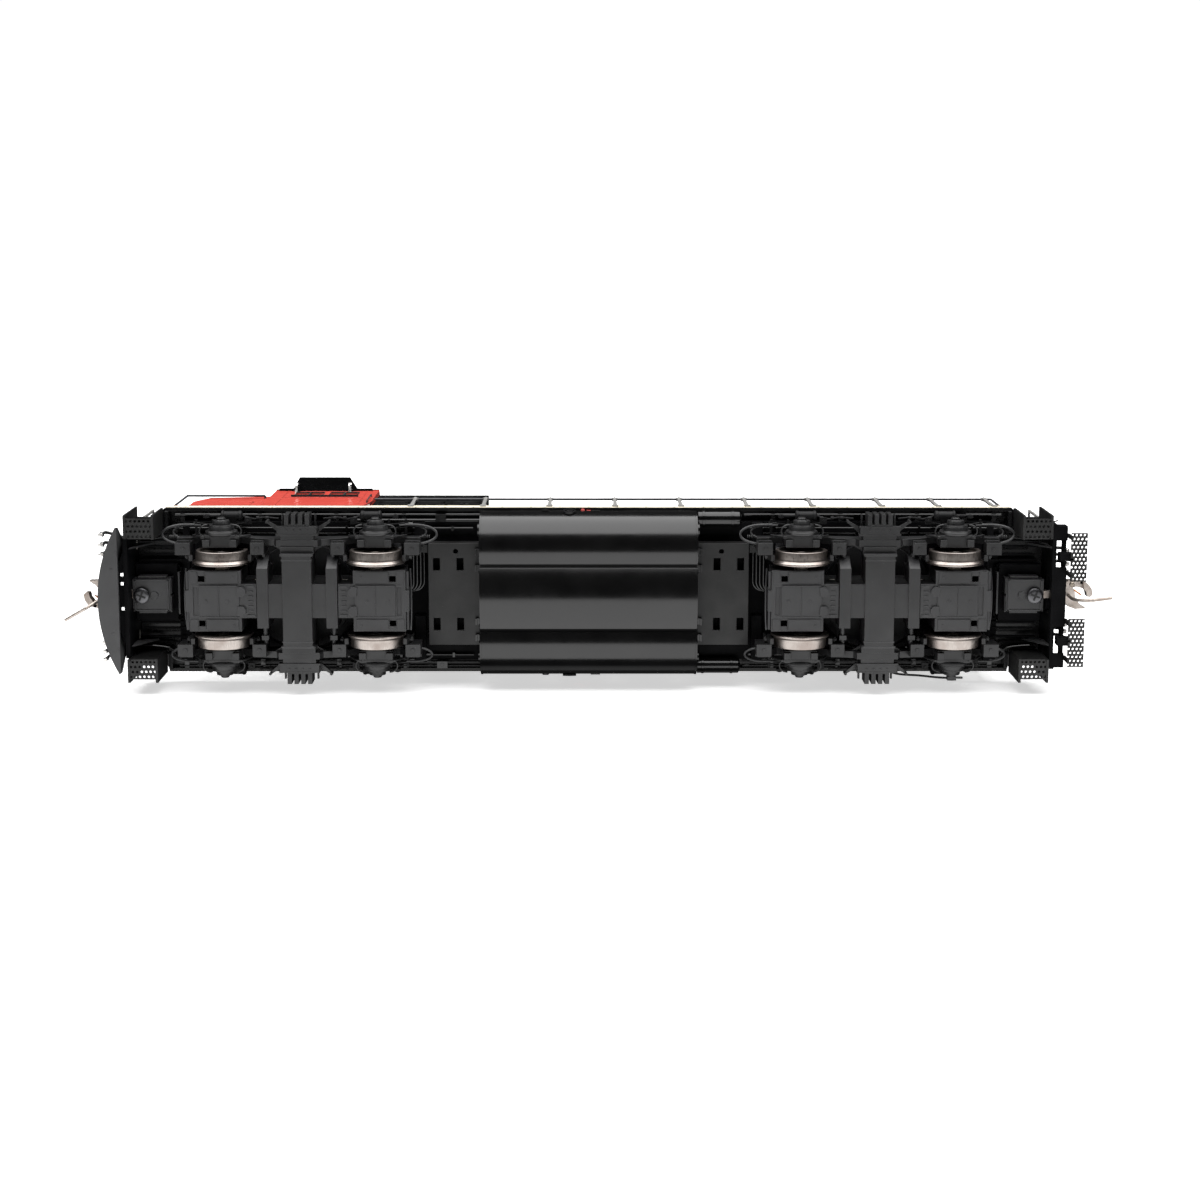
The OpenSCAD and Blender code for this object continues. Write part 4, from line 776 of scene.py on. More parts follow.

# cross-head screws; the slots are thin dark plates on the heads, painted shade for cut slots
mb = MB()
for f in (1, -1):
    cxx = f * 92.4
    n = 24
    prof = [(1.5, 8.15), (1.62, 8.0), (1.6, 7.82), (1.2, 7.6), (0.62, 7.55)]
    mb.revolve([(1.62, 8.25), (1.66, 8.1), (1.6, 7.9), (1.35, 7.72), (0.95, 7.66), (0, 7.66)][::-1], (cxx, 0, 0), "z", 32)
    for a in (20, 110):
        ca, sa = math.cos(math.radians(a)), math.sin(math.radians(a))
        p = [(-1.0, -0.2), (1.0, -0.2), (1.0, 0.2), (-1.0, 0.2)]
        mb.prism([(cxx + u * ca - v * sa, u * sa + v * ca) for u, v in p], 7.6, 7.665, "xy", 1)
    mb.prism([(cxx + 0.45 * math.cos(math.radians(90 * k + 20)), 0.45 * math.sin(math.radians(90 * k + 20))) for k in range(4)], 7.58, 7.66, "xy", 1)
    for sy in (1, -1):
        mb.revolve([(0, 13.3), (0.75, 13.32), (1.1, 13.55), (1.15, 13.9)], (f * 40, sy * 9.5, 0), "z", 24)
        # dark bar for the slot, painted shade
        mb.box(f * 40 - 0.7, f * 40 + 0.7, sy * 9.5 - 0.1, sy * 9.5 + 0.1, 13.27, 13.34, 1)
mb.obj("screw_heads", ["screw", "dark"], "root", 0.03)

# sill: paint stripe, dark red line below the cab, rivets, drain pipes and brackets
mb = MB()
H = 17.4
for sy in (1, -1):
    mb.box(-88.2, 88.2, sy * (H - 0.02), sy * (H + 0.05), 15.5, 18.36, 0)
    mb.box(45.6, 86.8, sy * (H + 0.0), sy * (H + 0.07), 17.95, 18.42, 1)
    for f in (1, -1):
        mb.prism([(f * 88.2, sy * H), (f * 88.2, sy * (H + 0.05)), (f * 91.0, sy * 15.17), (f * 91.0, sy * 15.12)], 17.45, 18.38, "xy", 0)
mb.obj("sill_stripe", ["cream", "redline"], "root", 0.0)

mb = MB()
for sy in (1, -1):
    for k in range(29):
        x = -84 + k * 6.0
        bolt_y(mb, x, sy * 17.4, 15.9, 0.2, 0.09, sy)
    # air pipes along the sill with clamps
    for (y, z, r, x0, x1) in ((13.4, 13.2, 0.26, 24, 84), (12.2, 13.7, 0.2, 34, 82), (13.4, 13.2, 0.26, -84, -33.5), (12.2, 13.7, 0.2, -82, -34)):
        mb.cyl((x0, sy * y, z), (x1, sy * y, z), r, n=10)
        k = x0 + 4
        while k < x1 - 1:
            mb.box(k, k + 0.5, sy * (y - 0.5), sy * (y + 0.5), z - 0.35, z + 1.0)
            k += 11.0
    mb.tube(smooth_path([(84, sy * 13.4, 13.2), (86.2, sy * 13.6, 13.0), (87.2, sy * 12.0, 12.6), (90, sy * 11.4, 12.4), (94.2, sy * 11.2, 12.4)], 5), 0.26, 8)
    mb.tube(smooth_path([(-84, sy * 13.4, 13.2), (-86.2, sy * 13.6, 13.0), (-87.2, sy * 12.0, 12.6), (-90, sy * 11.4, 12.4), (-94.2, sy * 11.2, 12.4)], 5), 0.26, 8)
    # junction boxes and cocks
    for x in (43.2, 29.6, -31.8, -78.6):
        mb.box(x, x + 2.2, sy * 14.8, sy * 16.3, 12.9, 14.7)
        mb.cyl((x + 1.1, sy * 15.5, 12.95), (x + 1.1, sy * 15.5, 12.78), 0.4, n=12)
    for x in (36.4, -39.0):
        mb.revolve([(0, x), (0.55, x + 0.05), (0.55, x + 1.3), (0.3, x + 1.4), (0.3, x + 2.6), (0, x + 2.6)], (0, sy * 14.2, 12.6), "x", 14)
mb.obj("sill_pipes", "tank", "root", 0.03)

# fuel tank: end flanges, welded seams, gauge, drain plugs and snap clips
def tank_arc(x0, x1, dr):
    m2 = MB()
    for sy in (1, -1):
        pts = [(9.8 + (7.3 + dr) * math.cos(math.radians(a)), 12 + (7.3 + dr) * math.sin(math.radians(a))) for a in range(-110, 1, 5)]
        inn = [(9.8 + 7.25 * math.cos(math.radians(a)), 12 + 7.25 * math.sin(math.radians(a))) for a in range(0, -111, -5)]
        m2.prism([(sy * u, v) for u, v in pts + inn], x0, x1, "yz")
    return m2


mb = MB()
for x0, x1 in ((-22.45, -22.05), (22.05, 22.45)):
    t = tank_arc(x0, x1, 0.1)
    mb.add(t.v, t.f)
for sy in (1, -1):
    # clips that hold the tank on its plate
    for x, g in ((22.4, 1), (-22.4, -1)):
        for y in (5.6, 9.0):
            mb.box(x, x + g * 1.0, sy * (y - 0.7), sy * (y + 0.7), 9.2, 9.9)
            mb.box(x + g * 0.7, x + g * 1.1, sy * (y - 0.7), sy * (y + 0.7), 8.6, 9.9)
            mb.box(x, x + g * 0.35, sy * (y - 0.9), sy * (y - 0.75), 7.4, 10.0)
            mb.box(x, x + g * 0.35, sy * (y + 0.75), sy * (y + 0.9), 7.4, 10.0)
    mb.cyl((22.4, sy * 13.4, 10.6), (22.95, sy * 13.4, 10.6), 1.3, n=24)
    mb.cyl((-22.4, sy * 13.4, 10.6), (-22.95, sy * 13.4, 10.6), 1.3, n=24)
    # cap handle
    a = math.radians(-8.7)
    cy, cz = 9.8 + 7.55 * math.cos(a), 12 + 7.55 * math.sin(a)
    mb.box(3.4, 4.6, sy * (cy - 0.15), sy * (cy + 0.12), cz - 0.16, cz + 0.16)
    # sight glass and gauge housings on the side
    mb.box(-2.4, -0.4, sy * 16.9, sy * 17.3, 11.3, 12.9)
    mb.revolve([(0, 17.05 * sy), (0.7, 17.1 * sy), (0.7, 17.45 * sy), (0, 17.45 * sy)][::sy], (9.0, 0, 12.2), "y", 18)
mb.obj("fuel_tank_fittings", "tank", "root", 0.04)

mb = MB()
for sy in (1, -1):
    mb.ball((1.2, sy * 17.0, 13.7), 0.45, 8)
    mb.cyl((0.2, sy * 16.4, 13.8), (2.6, sy * 16.4, 13.8), 0.16, n=8)
    mb.box(-0.9, 0.4, sy * 16.3, sy * 17.1, 13.3, 14.0)
mb.obj("fuel_shutoff", "valve_red", "root", 0.04)

# side reservoirs above the tank line, seen past the tank's edge
mb = MB()
for sy in (1, -1):
    prof = [(0, 0), (0.9, 0.05), (1.35, 0.35), (1.5, 0.9), (1.5, 14.4), (1.35, 14.95), (0.9, 15.2), (0, 15.25)]
    lathe_x(mb, prof, 1.6, sy * 15.5, 14.75, 1, 28)
    lathe_x(mb, prof, -22.0, sy * 15.5, 14.75, 1, 28)
    for x in (4.2, 13.6, -19.4, -10.0):
        mb.revolve([(1.58, x), (1.58, x + 0.6)], (0, sy * 15.5, 14.75), "x", 28)
mb.obj("sill_reservoirs", "tank", "root", 0.03, angle=40)

# plow rivets, pilot braces and lift bar
mb = MB()
for y in (-10, -6.6, 6.6, 10):
    xx = 69.1 + math.sqrt(29.6 ** 2 - y * y)
    bolt_z(mb, xx - 0.9, y, 1.22, 0.3, 0.14)
for sy in (1, -1):
    mb.prism([(95.3, sy * 7.0), (97.4, sy * 7.0), (95.3, sy * 10.0)], 8.3, 8.8, "xy")
    mb.prism([(94.2, 6.0), (94.2, 12.0), (90.0, 13.9)], sy * 10.0, sy * 10.4, "xz")
    mb.prism([(-95.5, 7.0), (-95.5, 13.0), (-91.0, 14.0)], sy * 10.0, sy * 10.4, "xz")
mb.box(96.05, 98.2, -3.4, 6.3, 5.72, 5.95)
mb.obj("plow_braces", "plow", "root", 0.04)

mb = MB()
for f in (1, -1):
    X = lambda v: f * v
    e0 = 95.8 if f > 0 else 96.9
    mb.tube(smooth_path([(X(e0), 14.4, 15.4), (X(e0 + 0.2), 9.0, 15.2), (X(e0 + 0.2), 2.6, 15.0), (X(e0 + 0.2), -2.6, 15.0), (X(e0 + 0.2), -9.0, 15.2), (X(e0), -14.4, 15.4)], 5), 0.17, 8)
    mb.tube(smooth_path([(X(e0 + 0.2), 0.2, 15.0), (X(e0 + 1.2), 0.4, 14.2), (X(e0 + 1.6), 0.6, 12.6)], 5), 0.17, 8)
    for sy in (1, -1):
        mb.tube([(X(e0), sy * 14.4, 15.4), (X(e0 + 0.9), sy * 14.9, 14.0)], 0.17, 8)
        for y in (12.8, 5.2):
            mb.box(X(e0 - 0.5), X(e0 + 0.35), sy * (y - 0.25), sy * (y + 0.25), 14.8, 15.6)
mb.obj("uncoupling_bars", "silver", "root", 0.02)

# glad hands on the hanging hose ends
mb = MB()
for y in (-11.9, -10.3, -8.4, 6.9, 8.9, 11.0):
    a = math.radians(18 if y > 0 else -18)
    x1, y1 = 95.3 + 5.3 * math.cos(a), y + 5.3 * math.sin(a)
    mb.revolve([(0, 8.6), (0.3, 8.62), (0.4, 8.8), (0.4, 9.5), (0.42, 9.6), (0.42, 9.95), (0.34, 10.0), (0, 10.0)], (x1, y1, 0), "z", 14)
    mb.box(x1 - 0.1, x1 + 0.75, y1 - 0.2, y1 + 0.2, 8.55, 9.1)
for y in (-9.2, -7.8, -6.4, 4.8, 6.4, 7.8, 9.2):
    mb.revolve([(0, 9.3), (0.3, 9.32), (0.4, 9.5), (0.4, 10.2), (0.42, 10.3), (0.42, 10.65), (0.34, 10.7), (0, 10.7)], (-99.05, y, 0), "z", 14)
mb.obj("hose_glad_hands", "silver", "root", 0.03)

# coupler details: rivet, knuckle spring, draft shim
for e, s_ in (("front", 1), ("rear", -1)):
    mb = MB()
    mb.revolve([(0, 9.1), (0.42, 9.12), (0.55, 9.3), (0.55, 9.36)], (s_ * 100.2, -s_ * 2.2, 0), "z", 20)
    mb.revolve([(0, 9.1), (0.34, 9.14), (0.4, 9.36)], (s_ * 99.6, s_ * 0.2, 0), "z", 16)
    mb.tube([(s_ * 96.4, 0, 9.62), (s_ * 98.4, 0, 9.62)], 0.3, 10)
    mb.obj(e + "_coupler_rivets", "pin", e + "_coupler", 0)
    mb = MB()
    pts = []
    for i in range(0, 73):
        a = 2 * math.pi * i / 9
        t = i / 72
        px_, py_ = 100.6 + 1.5 * t, -1.1 + 1.9 * t * 0.55
        pts.append((s_ * (px_ + 0.26 * math.cos(a) * 0.5), s_ * (py_ + 0.26 * math.cos(a)), 9.05 + 0.26 * math.sin(a)))
    mb.tube(pts, 0.07, 6)
    mb.obj(e + "_knuckle_spring", "copper", e + "_coupler", 0)

# speed recorder cable on the rear truck
mb = MB()
mb.tube(smooth_path([(-TX - 1.0, -13.0, 8.6), (-TX - 2.4, -15.6, 9.6), (-TX - 5.0, -16.8, 9.8), (-TX - 9.5, -17.0, 9.0), (-TX - 13.0, -17.1, 7.6), (-TX - AX, -17.0, 6.4)], 6), 0.24, 8)
mb.box(-TX - AX - 0.9, -TX - AX + 0.9, -17.3, -16.5, 5.2, 6.9)
mb.cyl((-TX - AX, -16.4, 6.0), (-TX - AX, -17.3, 6.0), 0.95, n=20)
mb.box(-TX - AX - 2.4, -TX - AX + 0.2, -17.1, -16.7, 6.1, 6.6)
mb.obj("rear_truck_speed_cable", "hose", "rear_truck", 0.03)

# ------------------------------------------------------------------ long hood: hinges, latches, louvres, seams
mb = MB()
for sy in (1, -1):
    Y0, Y1 = 10.68, 10.98
    for i in range(12):
        x = -82.6 + i * 6.6
        for z in (22.2, 27.6, 33.0):
            mb.cyl((x + 0.12, sy * 10.82, z - 0.55), (x + 0.12, sy * 10.82, z + 0.55), 0.17, n=8)
            mb.box(x + 0.1, x + 0.95, sy * 10.7, sy * 10.82, z - 0.42, z + 0.42)
        mb.box(x + 5.15, x + 5.75, sy * 10.7, sy * 10.92, 25.9, 27.7)
        mb.cyl((x + 5.45, sy * 10.8, 26.9), (x + 5.45, sy * 11.05, 26.9), 0.2, n=10)
        mb.box(x + 5.3, x + 5.6, sy * 10.9, sy * 11.08, 26.1, 26.9)
        if i in (1, 2, 5, 6, 9, 10):
            for k in range(9):
                z = 28.9 + k * 0.62
                mb.prism([(sy * 10.7, z), (sy * 11.0, z + 0.1), (sy * 10.7, z + 0.42)], x + 1.3, x + 4.9, "yz")
    # upper body seams, battens and louvred panels
    for x in (-61.4, -48.0, -34.8, -21.6, -8.4, 5.0, 18.6):
        mb.box(x - 0.09, x + 0.09, sy * 10.48, sy * 10.6, 36.4, 47.3)
    mb.box(-86.1, 21.7, sy * 10.48, sy * 10.62, 36.15, 36.45)
    mb.box(-61.0, 21.7, sy * 10.48, sy * 10.58, 47.15, 47.35)
    for x in (-57, -44, -31):
        mb.box(x, x + 7.6, sy * 10.48, sy * 10.66, 38.6, 45.2)
        for k in range(8):
            mb.prism([(sy * 10.64, 39.3 + k * 0.7), (sy * 10.92, 39.4 + k * 0.7), (sy * 10.64, 39.8 + k * 0.7)], x + 0.9, x + 6.7, "yz")
    # blister grille and its frame
    for k in range(11):
        mb.prism([(sy * 12.08, 41.1 + k * 0.44), (sy * 12.3, 41.16 + k * 0.44), (sy * 12.08, 41.4 + k * 0.44)], -5.0, 13.0, "yz")
    for x in (-5.7, 3.9, 13.3):
        mb.box(x, x + 0.4, sy * 12.08, sy * 12.26, 40.7, 46.1)
    # radiator shutter frames
    for x in (-83.0, -72.7, -62.35):
        mb.box(x, x + 0.35, sy * 10.88, sy * 11.05, 38.0, 46.6)
    for z in (38.05, 46.2):
        mb.box(-83.0, -62.0, sy * 10.88, sy * 11.05, z, z + 0.35)
    for k in range(14):
        mb.box(-82.4, -62.6, sy * 10.62, sy * 10.72, 39.3 + k * 0.46, 39.42 + k * 0.46)
# roof seams, hatches, lifting eyes
for x in (-58.6, -44.5, -30.4, -12.0, 1.5, 16.0):
    mb.box(x - 0.1, x + 0.1, -7.8, 7.8, 49.94, 50.12)
for x0, x1, w in ((-56, -46.5, 5.6), (-42.5, -32.5, 5.6), (-10, 0, 5.2), (3.5, 13.5, 5.2)):
    mb.box(x0, x1, -w, w, 49.9, 50.16)
    for sy in (1, -1):
        for x in (x0 + 1.0, x1 - 1.4):
            mb.box(x, x + 0.4, sy * (w - 0.1), sy * (w + 0.5), 49.9, 50.22)
for x in (-84.2, -60.2, -28.0, 18.8):
    for sy in (1, -1):
        mb.tube([(x - 0.5, sy * 7.2, 49.9), (x - 0.5, sy * 7.2, 50.6), (x, sy * 7.2, 50.85), (x + 0.5, sy * 7.2, 50.6), (x + 0.5, sy * 7.2, 49.9)], 0.16, 8)
# rear wall: door panels, sand filler, class-lamp housings
for sy in (1, -1):
    mb.box(-86.45, -86.15, sy * 0.4, sy * 6.4, 21.0, 40.2)
    for z in (24, 31, 37.6):
        mb.cyl((-86.5, sy * 6.5, z - 0.6), (-86.5, sy * 6.5, z + 0.6), 0.18, n=8)
    mb.box(-86.7, -86.4, sy * 0.9, sy * 1.3, 29.6, 31.4)
    mb.revolve([(0, -86.75), (0.9, -86.75), (1.0, -86.6), (1.0, -86.2), (0, -86.2)], (0, sy * 8.2, 46.0), "x", 20)
mb.revolve([(0, -86.9), (1.5, -86.9), (1.7, -86.7), (1.7, -86.2), (0, -86.2)], (0, 0, 42.8), "x", 24)
mb.obj("hood_fittings", "body", "root", 0.025)

mb = MB()
# grab irons: ladder rungs at the hood's rear and roof
for z in (22.5, 27.0, 31.5, 36.0, 40.5):
    mb.tube([(-86.2, 7.2, z), (-86.95, 7.2, z), (-86.95, 9.8, z), (-86.2, 9.8, z)], 0.14, 8)
for x in (-85.2, -84.2):
    mb.tube([(x, 5.0, 50.0), (x, 5.0, 50.6), (x, 7.0, 50.6), (x, 7.0, 50.0)], 0.14, 8)
for sy in (1, -1):
    mb.tube([(47.2, sy * 17.0, 26.0), (47.2, sy * 17.5, 26.0), (47.2, sy * 17.5, 36.0), (47.2, sy * 17.0, 36.0)], 0.15, 8)
    for z in (23.0, 27.2, 31.4):
        mb.tube([(84.9, sy * 12.2, z), (85.65, sy * 12.2, z), (85.65, sy * 15.2, z), (84.9, sy * 15.2, z)], 0.15, 8)
    mb.tube([(70.4, sy * 15.4, 39.2), (70.4, sy * 15.4, 40.1), (76.4, sy * 15.4, 38.8), (76.4, sy * 15.4, 38.2)], 0.15, 8)
mb.obj("grab_irons", "wire", "root", 0)

# roof fans: grille rings and spokes above each blade set
mb = MB()
for x in (-79, -70.5, -62):
    for r in (0.9, 1.4, 1.9, 2.4, 2.9, 3.4):
        mb.tube([(x + r * math.cos(math.radians(a)), r * math.sin(math.radians(a)), 51.42) for a in range(0, 360, 12)], 0.07, 6, closed=True)
    for k in range(8):
        a = math.radians(45 * k)
        mb.tube([(x + 0.5 * math.cos(a), 0.5 * math.sin(a), 51.42), (x + 3.6 * math.cos(a), 3.6 * math.sin(a), 51.42)], 0.08, 6)
    mb.revolve([(0, 51.2), (0.7, 51.2), (0.7, 51.45), (0.4, 51.6), (0, 51.62)], (x, 0, 0), "z", 20)
    for k in range(12):
        a = math.radians(30 * k + 8)
        bolt_z(mb, x + 3.6 * math.cos(a), 3.6 * math.sin(a), 51.4, 0.14, 0.08, down=False)
mb.obj("fan_guards", "silver", "root", 0)

# cabinet behind the cab: hinges, latches, filter panels
mb = MB()
for sy in (1, -1):
    for i in range(3):
        x = 23.2 + i * 7.6
        for z in (22.4, 31.0, 40.2):
            mb.cyl((x + 0.15, sy * 16.52, z - 0.6), (x + 0.15, sy * 16.52, z + 0.6), 0.16, n=8)
            mb.box(x + 0.1, x + 1.0, sy * 16.38, sy * 16.5, z - 0.4, z + 0.4)
        mb.box(x + 6.0, x + 6.6, sy * 16.38, sy * 16.58, 30.0, 32.0)
        mb.box(x + 6.2, x + 6.4, sy * 16.56, sy * 16.7, 30.2, 31.0)
        for k in range(10):
            z = 33.6 + k * 0.74
            mb.prism([(sy * 16.38, z), (sy * 16.62, z + 0.1), (sy * 16.38, z + 0.5)], x + 1.5, x + 5.6, "yz")
    mb.box(22.1, 46.1, sy * 15.4, sy * 16.1, 44.58, 44.72)
    for k in range(9):
        mb.box(24 + k * 2.4, 25.6 + k * 2.4, sy * 10.98, sy * 11.12, 45.6, 48.9)
for x0, x1 in ((24.0, 30.5), (36.5, 44.5)):
    mb.box(x0, x1, -8.0, 8.0, 49.95, 50.15)
mb.obj("cabinet_fittings", "body", "root", 0.025)

# cab: window gaskets, doors, rain strips, wipers, blank number boards, nose door
def ring(mb, pts, r, mi=0):
    mb.tube(pts, r, 6, mi, closed=True)


mb = MB()
for sy in (1, -1):
    y = sy * 17.0
    for x0, x1 in ((50.4, 56.6), (58.0, 64.2)):
        ring(mb, [(x0, y, 36.4), (x1, y, 36.4), (x1, y, 43.2), (x0, y, 43.2)], 0.12)
        mb.box((x0 + x1) / 2 - 0.12, (x0 + x1) / 2 + 0.12, sy * 16.7, sy * 17.05, 36.4, 43.2)
    mb.box(50.0, 64.6, sy * 16.95, sy * 17.4, 35.7, 36.1)
    # window wells facing front and rear
    for x in (69.25,):
        ring(mb, [(x, sy * 1.4, 40.4), (x, sy * 7.6, 40.4), (x, sy * 7.6, 46.6), (x, sy * 1.4, 46.6)], 0.2)
        ring(mb, [(x, sy * 9.4, 40.4), (x, sy * 15.2, 40.4), (x, sy * 15.2, 45.6), (x, sy * 9.4, 45.6)], 0.2)
        mb.tube([(69.35, sy * 4.6, 47.0), (69.65, sy * 4.6, 46.8), (69.65, sy * 3.2, 41.8)], 0.1, 6)
        mb.tube([(69.65, sy * 2.7, 41.4), (69.65, sy * 3.7, 45.2)], 0.13, 6)
        mb.tube([(69.35, sy * 12.4, 46.2), (69.65, sy * 12.4, 46.0), (69.65, sy * 11.6, 41.8)], 0.1, 6)
    ring(mb, [(46.35, sy * 11.6, 41.1), (46.35, sy * 15.6, 41.1), (46.35, sy * 15.6, 46.1), (46.35, sy * 11.6, 46.1)], 0.2)
    # sunshade brackets
    mb.box(46.4, 69.2, sy * 16.98, sy * 17.16, 46.9, 47.2)
mb.obj("cab_gaskets", "dark", "root", 0)

mb = MB()
for sy in (1, -1):
    # pressed panel lines, rivets and the side door outline
    for x in (48.9, 66.3):
        mb.box(x - 0.07, x + 0.07, sy * 16.97, sy * 17.08, 19.0, 46.6)
    mb.box(48.9, 66.3, sy * 16.97, sy * 17.08, 34.5, 34.7)
    for k in range(14):
        bolt_y(mb, 49.9 + k * 1.2, sy * 17.02, 20.0, 0.13, 0.08, sy)
    mb.box(72.0, 81.5, sy * 16.57, sy * 16.7, 21.2, 31.6)
    for z in (23.0, 29.4):
        mb.box(71.8, 72.6, sy * 16.6, sy * 16.8, z - 0.5, z + 0.5)
# nose front: door and headlight surround
mb.box(84.88, 85.06, -4.0, 4.0, 20.2, 30.4)
for z in (22.2, 28.2):
    mb.cyl((85.08, -4.1, z - 0.6), (85.08, -4.1, z + 0.6), 0.18, n=8)
mb.box(85.0, 85.3, 3.0, 3.4, 24.6, 26.4)
mb.obj("cab_panels", "red", "root", 0.03)

mb = MB()
mb.prism([(-4.3, 31.2), (4.3, 31.2), (4.3, 34.8), (-4.3, 34.8)], 83.0, 83.4, "yz")
for y in (-2.1, 2.1):
    mb.revolve([(1.15, 82.2), (1.55, 82.2), (1.55, 84.9), (1.45, 85.0), (1.2, 85.0), (1.15, 84.8)][::-1], (0, y, 33.0), "x", 24)
for sy in (1, -1):
    mb.prism([(69.2, 47.2), (70.4, 47.2), (70.4, 49.6), (69.2, 50.2)], sy * 3.2, sy * 9.4, "xz")
mb.obj("nose_lamp_housing", "body", "root", 0.04)

mb = MB()
for sy in (1, -1):
    mb.box(70.38, 70.5, sy * 3.6, sy * 9.0, 47.5, 49.3)
mb.obj("blank_number_boards", "white", "root", 0.02)

# brackets of the sunshades
mb = MB()
for sy in (1, -1):
    for x in (52.3, 64.1):
        mb.prism([(sy * 17.0, 43.4), (sy * 18.4, 43.9), (sy * 18.9, 44.6), (sy * 17.0, 46.4)], x, x + 0.6, "yz")
mb.obj("sunshade_brackets", "silver", "root", 0.02)

# exhaust throat and roof trim
mb = MB()
# the throat is a flat dark plate, painted shade for the opening
mb.box(-23.3, -17.7, -0.95, 0.95, 50.3, 50.5, 1)
for f in (-24.1, -17.2):
    mb.box(f, f + 0.3, -1.75, 1.75, 49.9, 51.6)
mb.box(-24.1, -16.9, -1.9, -1.6, 49.9, 50.5)
mb.box(-24.1, -16.9, 1.6, 1.9, 49.9, 50.5)
mb.obj("exhaust_flange", ["etched", "dark"], "root", 0.03)

# flat faces and feet of the handrail posts
mb = MB()
for sy in (1, -1):
    for x in (37.2, 22.1, 8.2, -5.6, -19.4, -33.3, -47.0, -61.5, -73.3, -85.0):
        mb.prism([(x - 0.42, 18.5), (x + 0.42, 18.5), (x + 0.34, 30.2), (x - 0.34, 30.2)], sy * 17.12, sy * 17.42, "xz")
        mb.box(x - 0.75, x + 0.75, sy * 17.05, sy * 17.5, 18.35, 19.1)
        mb.box(x - 0.6, x + 0.6, sy * 16.85, sy * 17.45, 30.1, 30.95)
mb.obj("handrail_post_faces", "white", "root", 0.03)

# walkway: tread pattern, kick plates and toe ribs
mb = MB()
for sy in (1, -1):
    for k in range(46):
        x = -84.5 + k * 2.3
        if x + 1.4 < 21.5:
            mb.box(x, x + 1.4, sy * 11.6, sy * 11.8, 18.38, 18.5)
            mb.box(x + 0.5, x + 1.9, sy * 13.3, sy * 13.5, 18.38, 18.5)
            mb.box(x, x + 1.4, sy * 15.0, sy * 15.2, 18.38, 18.5)
    mb.box(-86.0, 86.0, sy * 16.85, sy * 17.0, 18.35, 18.75)
mb.obj("walkway_tread_pattern", "etched", "root", 0)


# ------------------------------------------------------------------ stage
def stage_mat(name, glow):
    m, nt, b = new_mat(name)
    co = coords(nt)
    n = noise(nt, co, 14, 3)
    nt.links.new(ramp(nt, n, [(0.2, (0.86, 0.86, 0.86)), (0.8, (0.89, 0.89, 0.89))]), b.inputs["Base Color"])
    nt.links.new(mapr(nt, n, 0.5, 0.6), b.inputs["Roughness"])
    b.inputs["Specular IOR Level"].default_value = 0.2
    b.inputs["Emission Color"].default_value = (1, 1, 1, 1)
    # painted light: the floor glows by emission, weaker within 0.12 m of the model and full beyond 0.45 m, a painted
    # shade round the model
    ln = nt.nodes.new("ShaderNodeVectorMath")
    ln.operation = "LENGTH"
    nt.links.new(co, ln.inputs[0])
    nt.links.new(mapr(nt, ln.outputs["Value"], glow, 1.05, 0.12, 0.45), b.inputs["Emission Strength"])
    geo = nt.nodes.new("ShaderNodeNewGeometry")
    tr = nt.nodes.new("ShaderNodeBsdfTransparent")
    mx = nt.nodes.new("ShaderNodeMixShader")
    out = nt.nodes["Material Output"]
    nt.links.new(geo.outputs["Backfacing"], mx.inputs[0])
    nt.links.new(b.outputs[0], mx.inputs[1])
    nt.links.new(tr.outputs[0], mx.inputs[2])
    nt.links.new(mx.outputs[0], out.inputs["Surface"])
    return m


SM = stage_mat("studio_floor", 0.6)
def plane(name, origin, ux, uy, half):
    me = bpy.data.meshes.new(name)
    o, a, b2 = Vector(origin), Vector(ux) * half, Vector(uy) * half
    me.from_pydata([o - a - b2, o + a - b2, o + a + b2, o - a + b2], [], [(0, 1, 2, 3)])
    me.materials.append(SM)
    ob = bpy.data.objects.new(name, me)
    bpy.context.scene.collection.objects.link(ob)
    ob.visible_shadow = False
    return ob


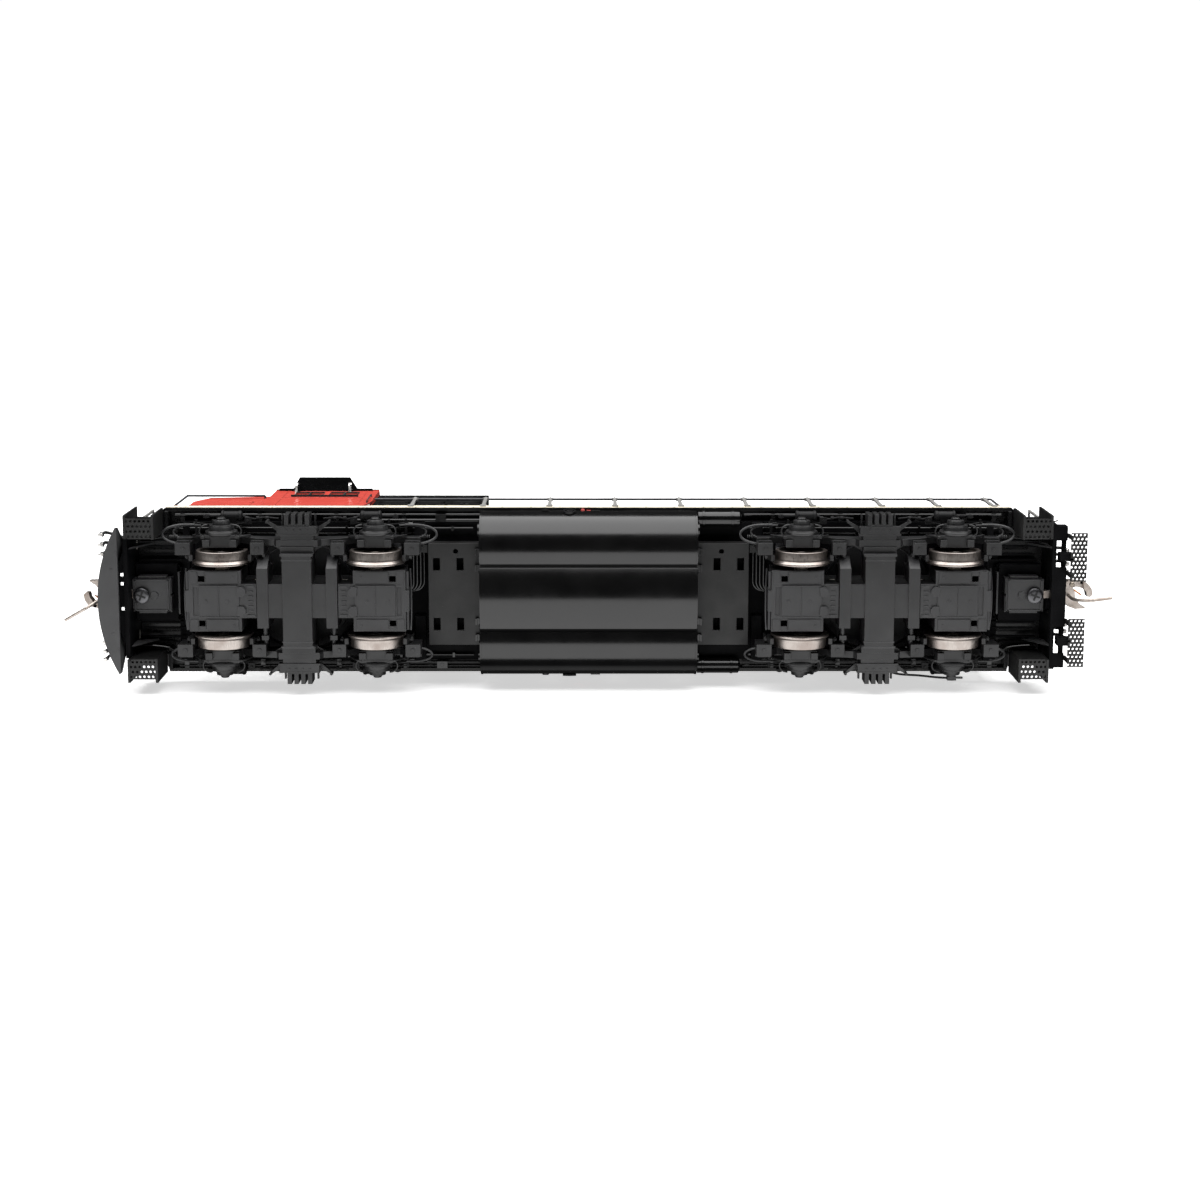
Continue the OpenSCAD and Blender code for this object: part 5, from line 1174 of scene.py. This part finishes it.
# the surface the model lies on, on its side, and the surface under its wheels
side = plane("stage_side_floor", (0, -20.12 * S, -1.2), (0, 0, 1), (1, 0, 0), 1.9)
flat = plane("stage_floor", (0, 0, -0.02 * S), (1, 0, 0), (0, 1, 0), 2.0)
for o in (side, flat):
    o.visible_diffuse = False
    o.visible_glossy = False
    o.visible_transmission = False
flat.visible_diffuse = False
flat.visible_glossy = False
flat.visible_transmission = False
for n_ in ("cab_shell_skin", "nose_hood_skin", "sill_stripe", "cab_panels"):
    bpy.data.objects[n_].visible_diffuse = False
    bpy.data.objects[n_].visible_glossy = False

# ------------------------------------------------------------------ light
world = bpy.data.worlds.new("studio")
bpy.context.scene.world = world
world.use_nodes = True
wn = world.node_tree
bg = wn.nodes["Background"]
bg.inputs["Color"].default_value = (1, 1, 1, 1)
bg.inputs["Strength"].default_value = 0.03
bg2 = wn.nodes.new("ShaderNodeBackground")
bg2.inputs["Color"].default_value = (1, 1, 1, 1)
bg2.inputs["Strength"].default_value = 1.02
lp = wn.nodes.new("ShaderNodeLightPath")
mxs = wn.nodes.new("ShaderNodeMixShader")
wn.links.new(lp.outputs["Is Camera Ray"], mxs.inputs[0])
wn.links.new(bg.outputs[0], mxs.inputs[1])
wn.links.new(bg2.outputs[0], mxs.inputs[2])
wn.links.new(mxs.outputs[0], wn.nodes["World Output"].inputs["Surface"])


def area(name, loc, aim, size, size_y, power, col=(1, 1, 1)):
    d = bpy.data.lights.new(name, "AREA")
    d.shape = "RECTANGLE"
    d.size, d.size_y = size, size_y
    d.energy = power
    d.color = col
    o = bpy.data.objects.new(name, d)
    bpy.context.scene.collection.objects.link(o)
    o.location = loc
    o.rotation_mode = "QUATERNION"
    o.rotation_quaternion = (Vector(aim) - Vector(loc)).to_track_quat("-Z", "Y")
    o.visible_camera = False
    return o


area("top_soft", (0.0, 0.55, -0.05), (0, 0, -0.05), 1.3, 0.82, 13.5)
area("floor_front", (0.0, -0.0215, -0.075), (0, 0.2, -0.075), 0.46, 0.15, 0.46)
over = area("overhead", (0.1, -0.36, 0.85), (0, 0, 0.02), 0.9, 0.4, 6.0)
over.visible_glossy = False
area("roof_sheen", (0.1, -0.36, 0.85), (0, 0, 0.02), 0.9, 0.4, 0.6)
fill = area("side_fill", (0.25, -0.55, 0.62), (0, 0, 0.02), 0.9, 0.5, 6.0)
fill.visible_glossy = False
area("side_sheen", (0.0, -0.9, 0.22), (0, 0, 0.02), 1.2, 0.4, 0.45)
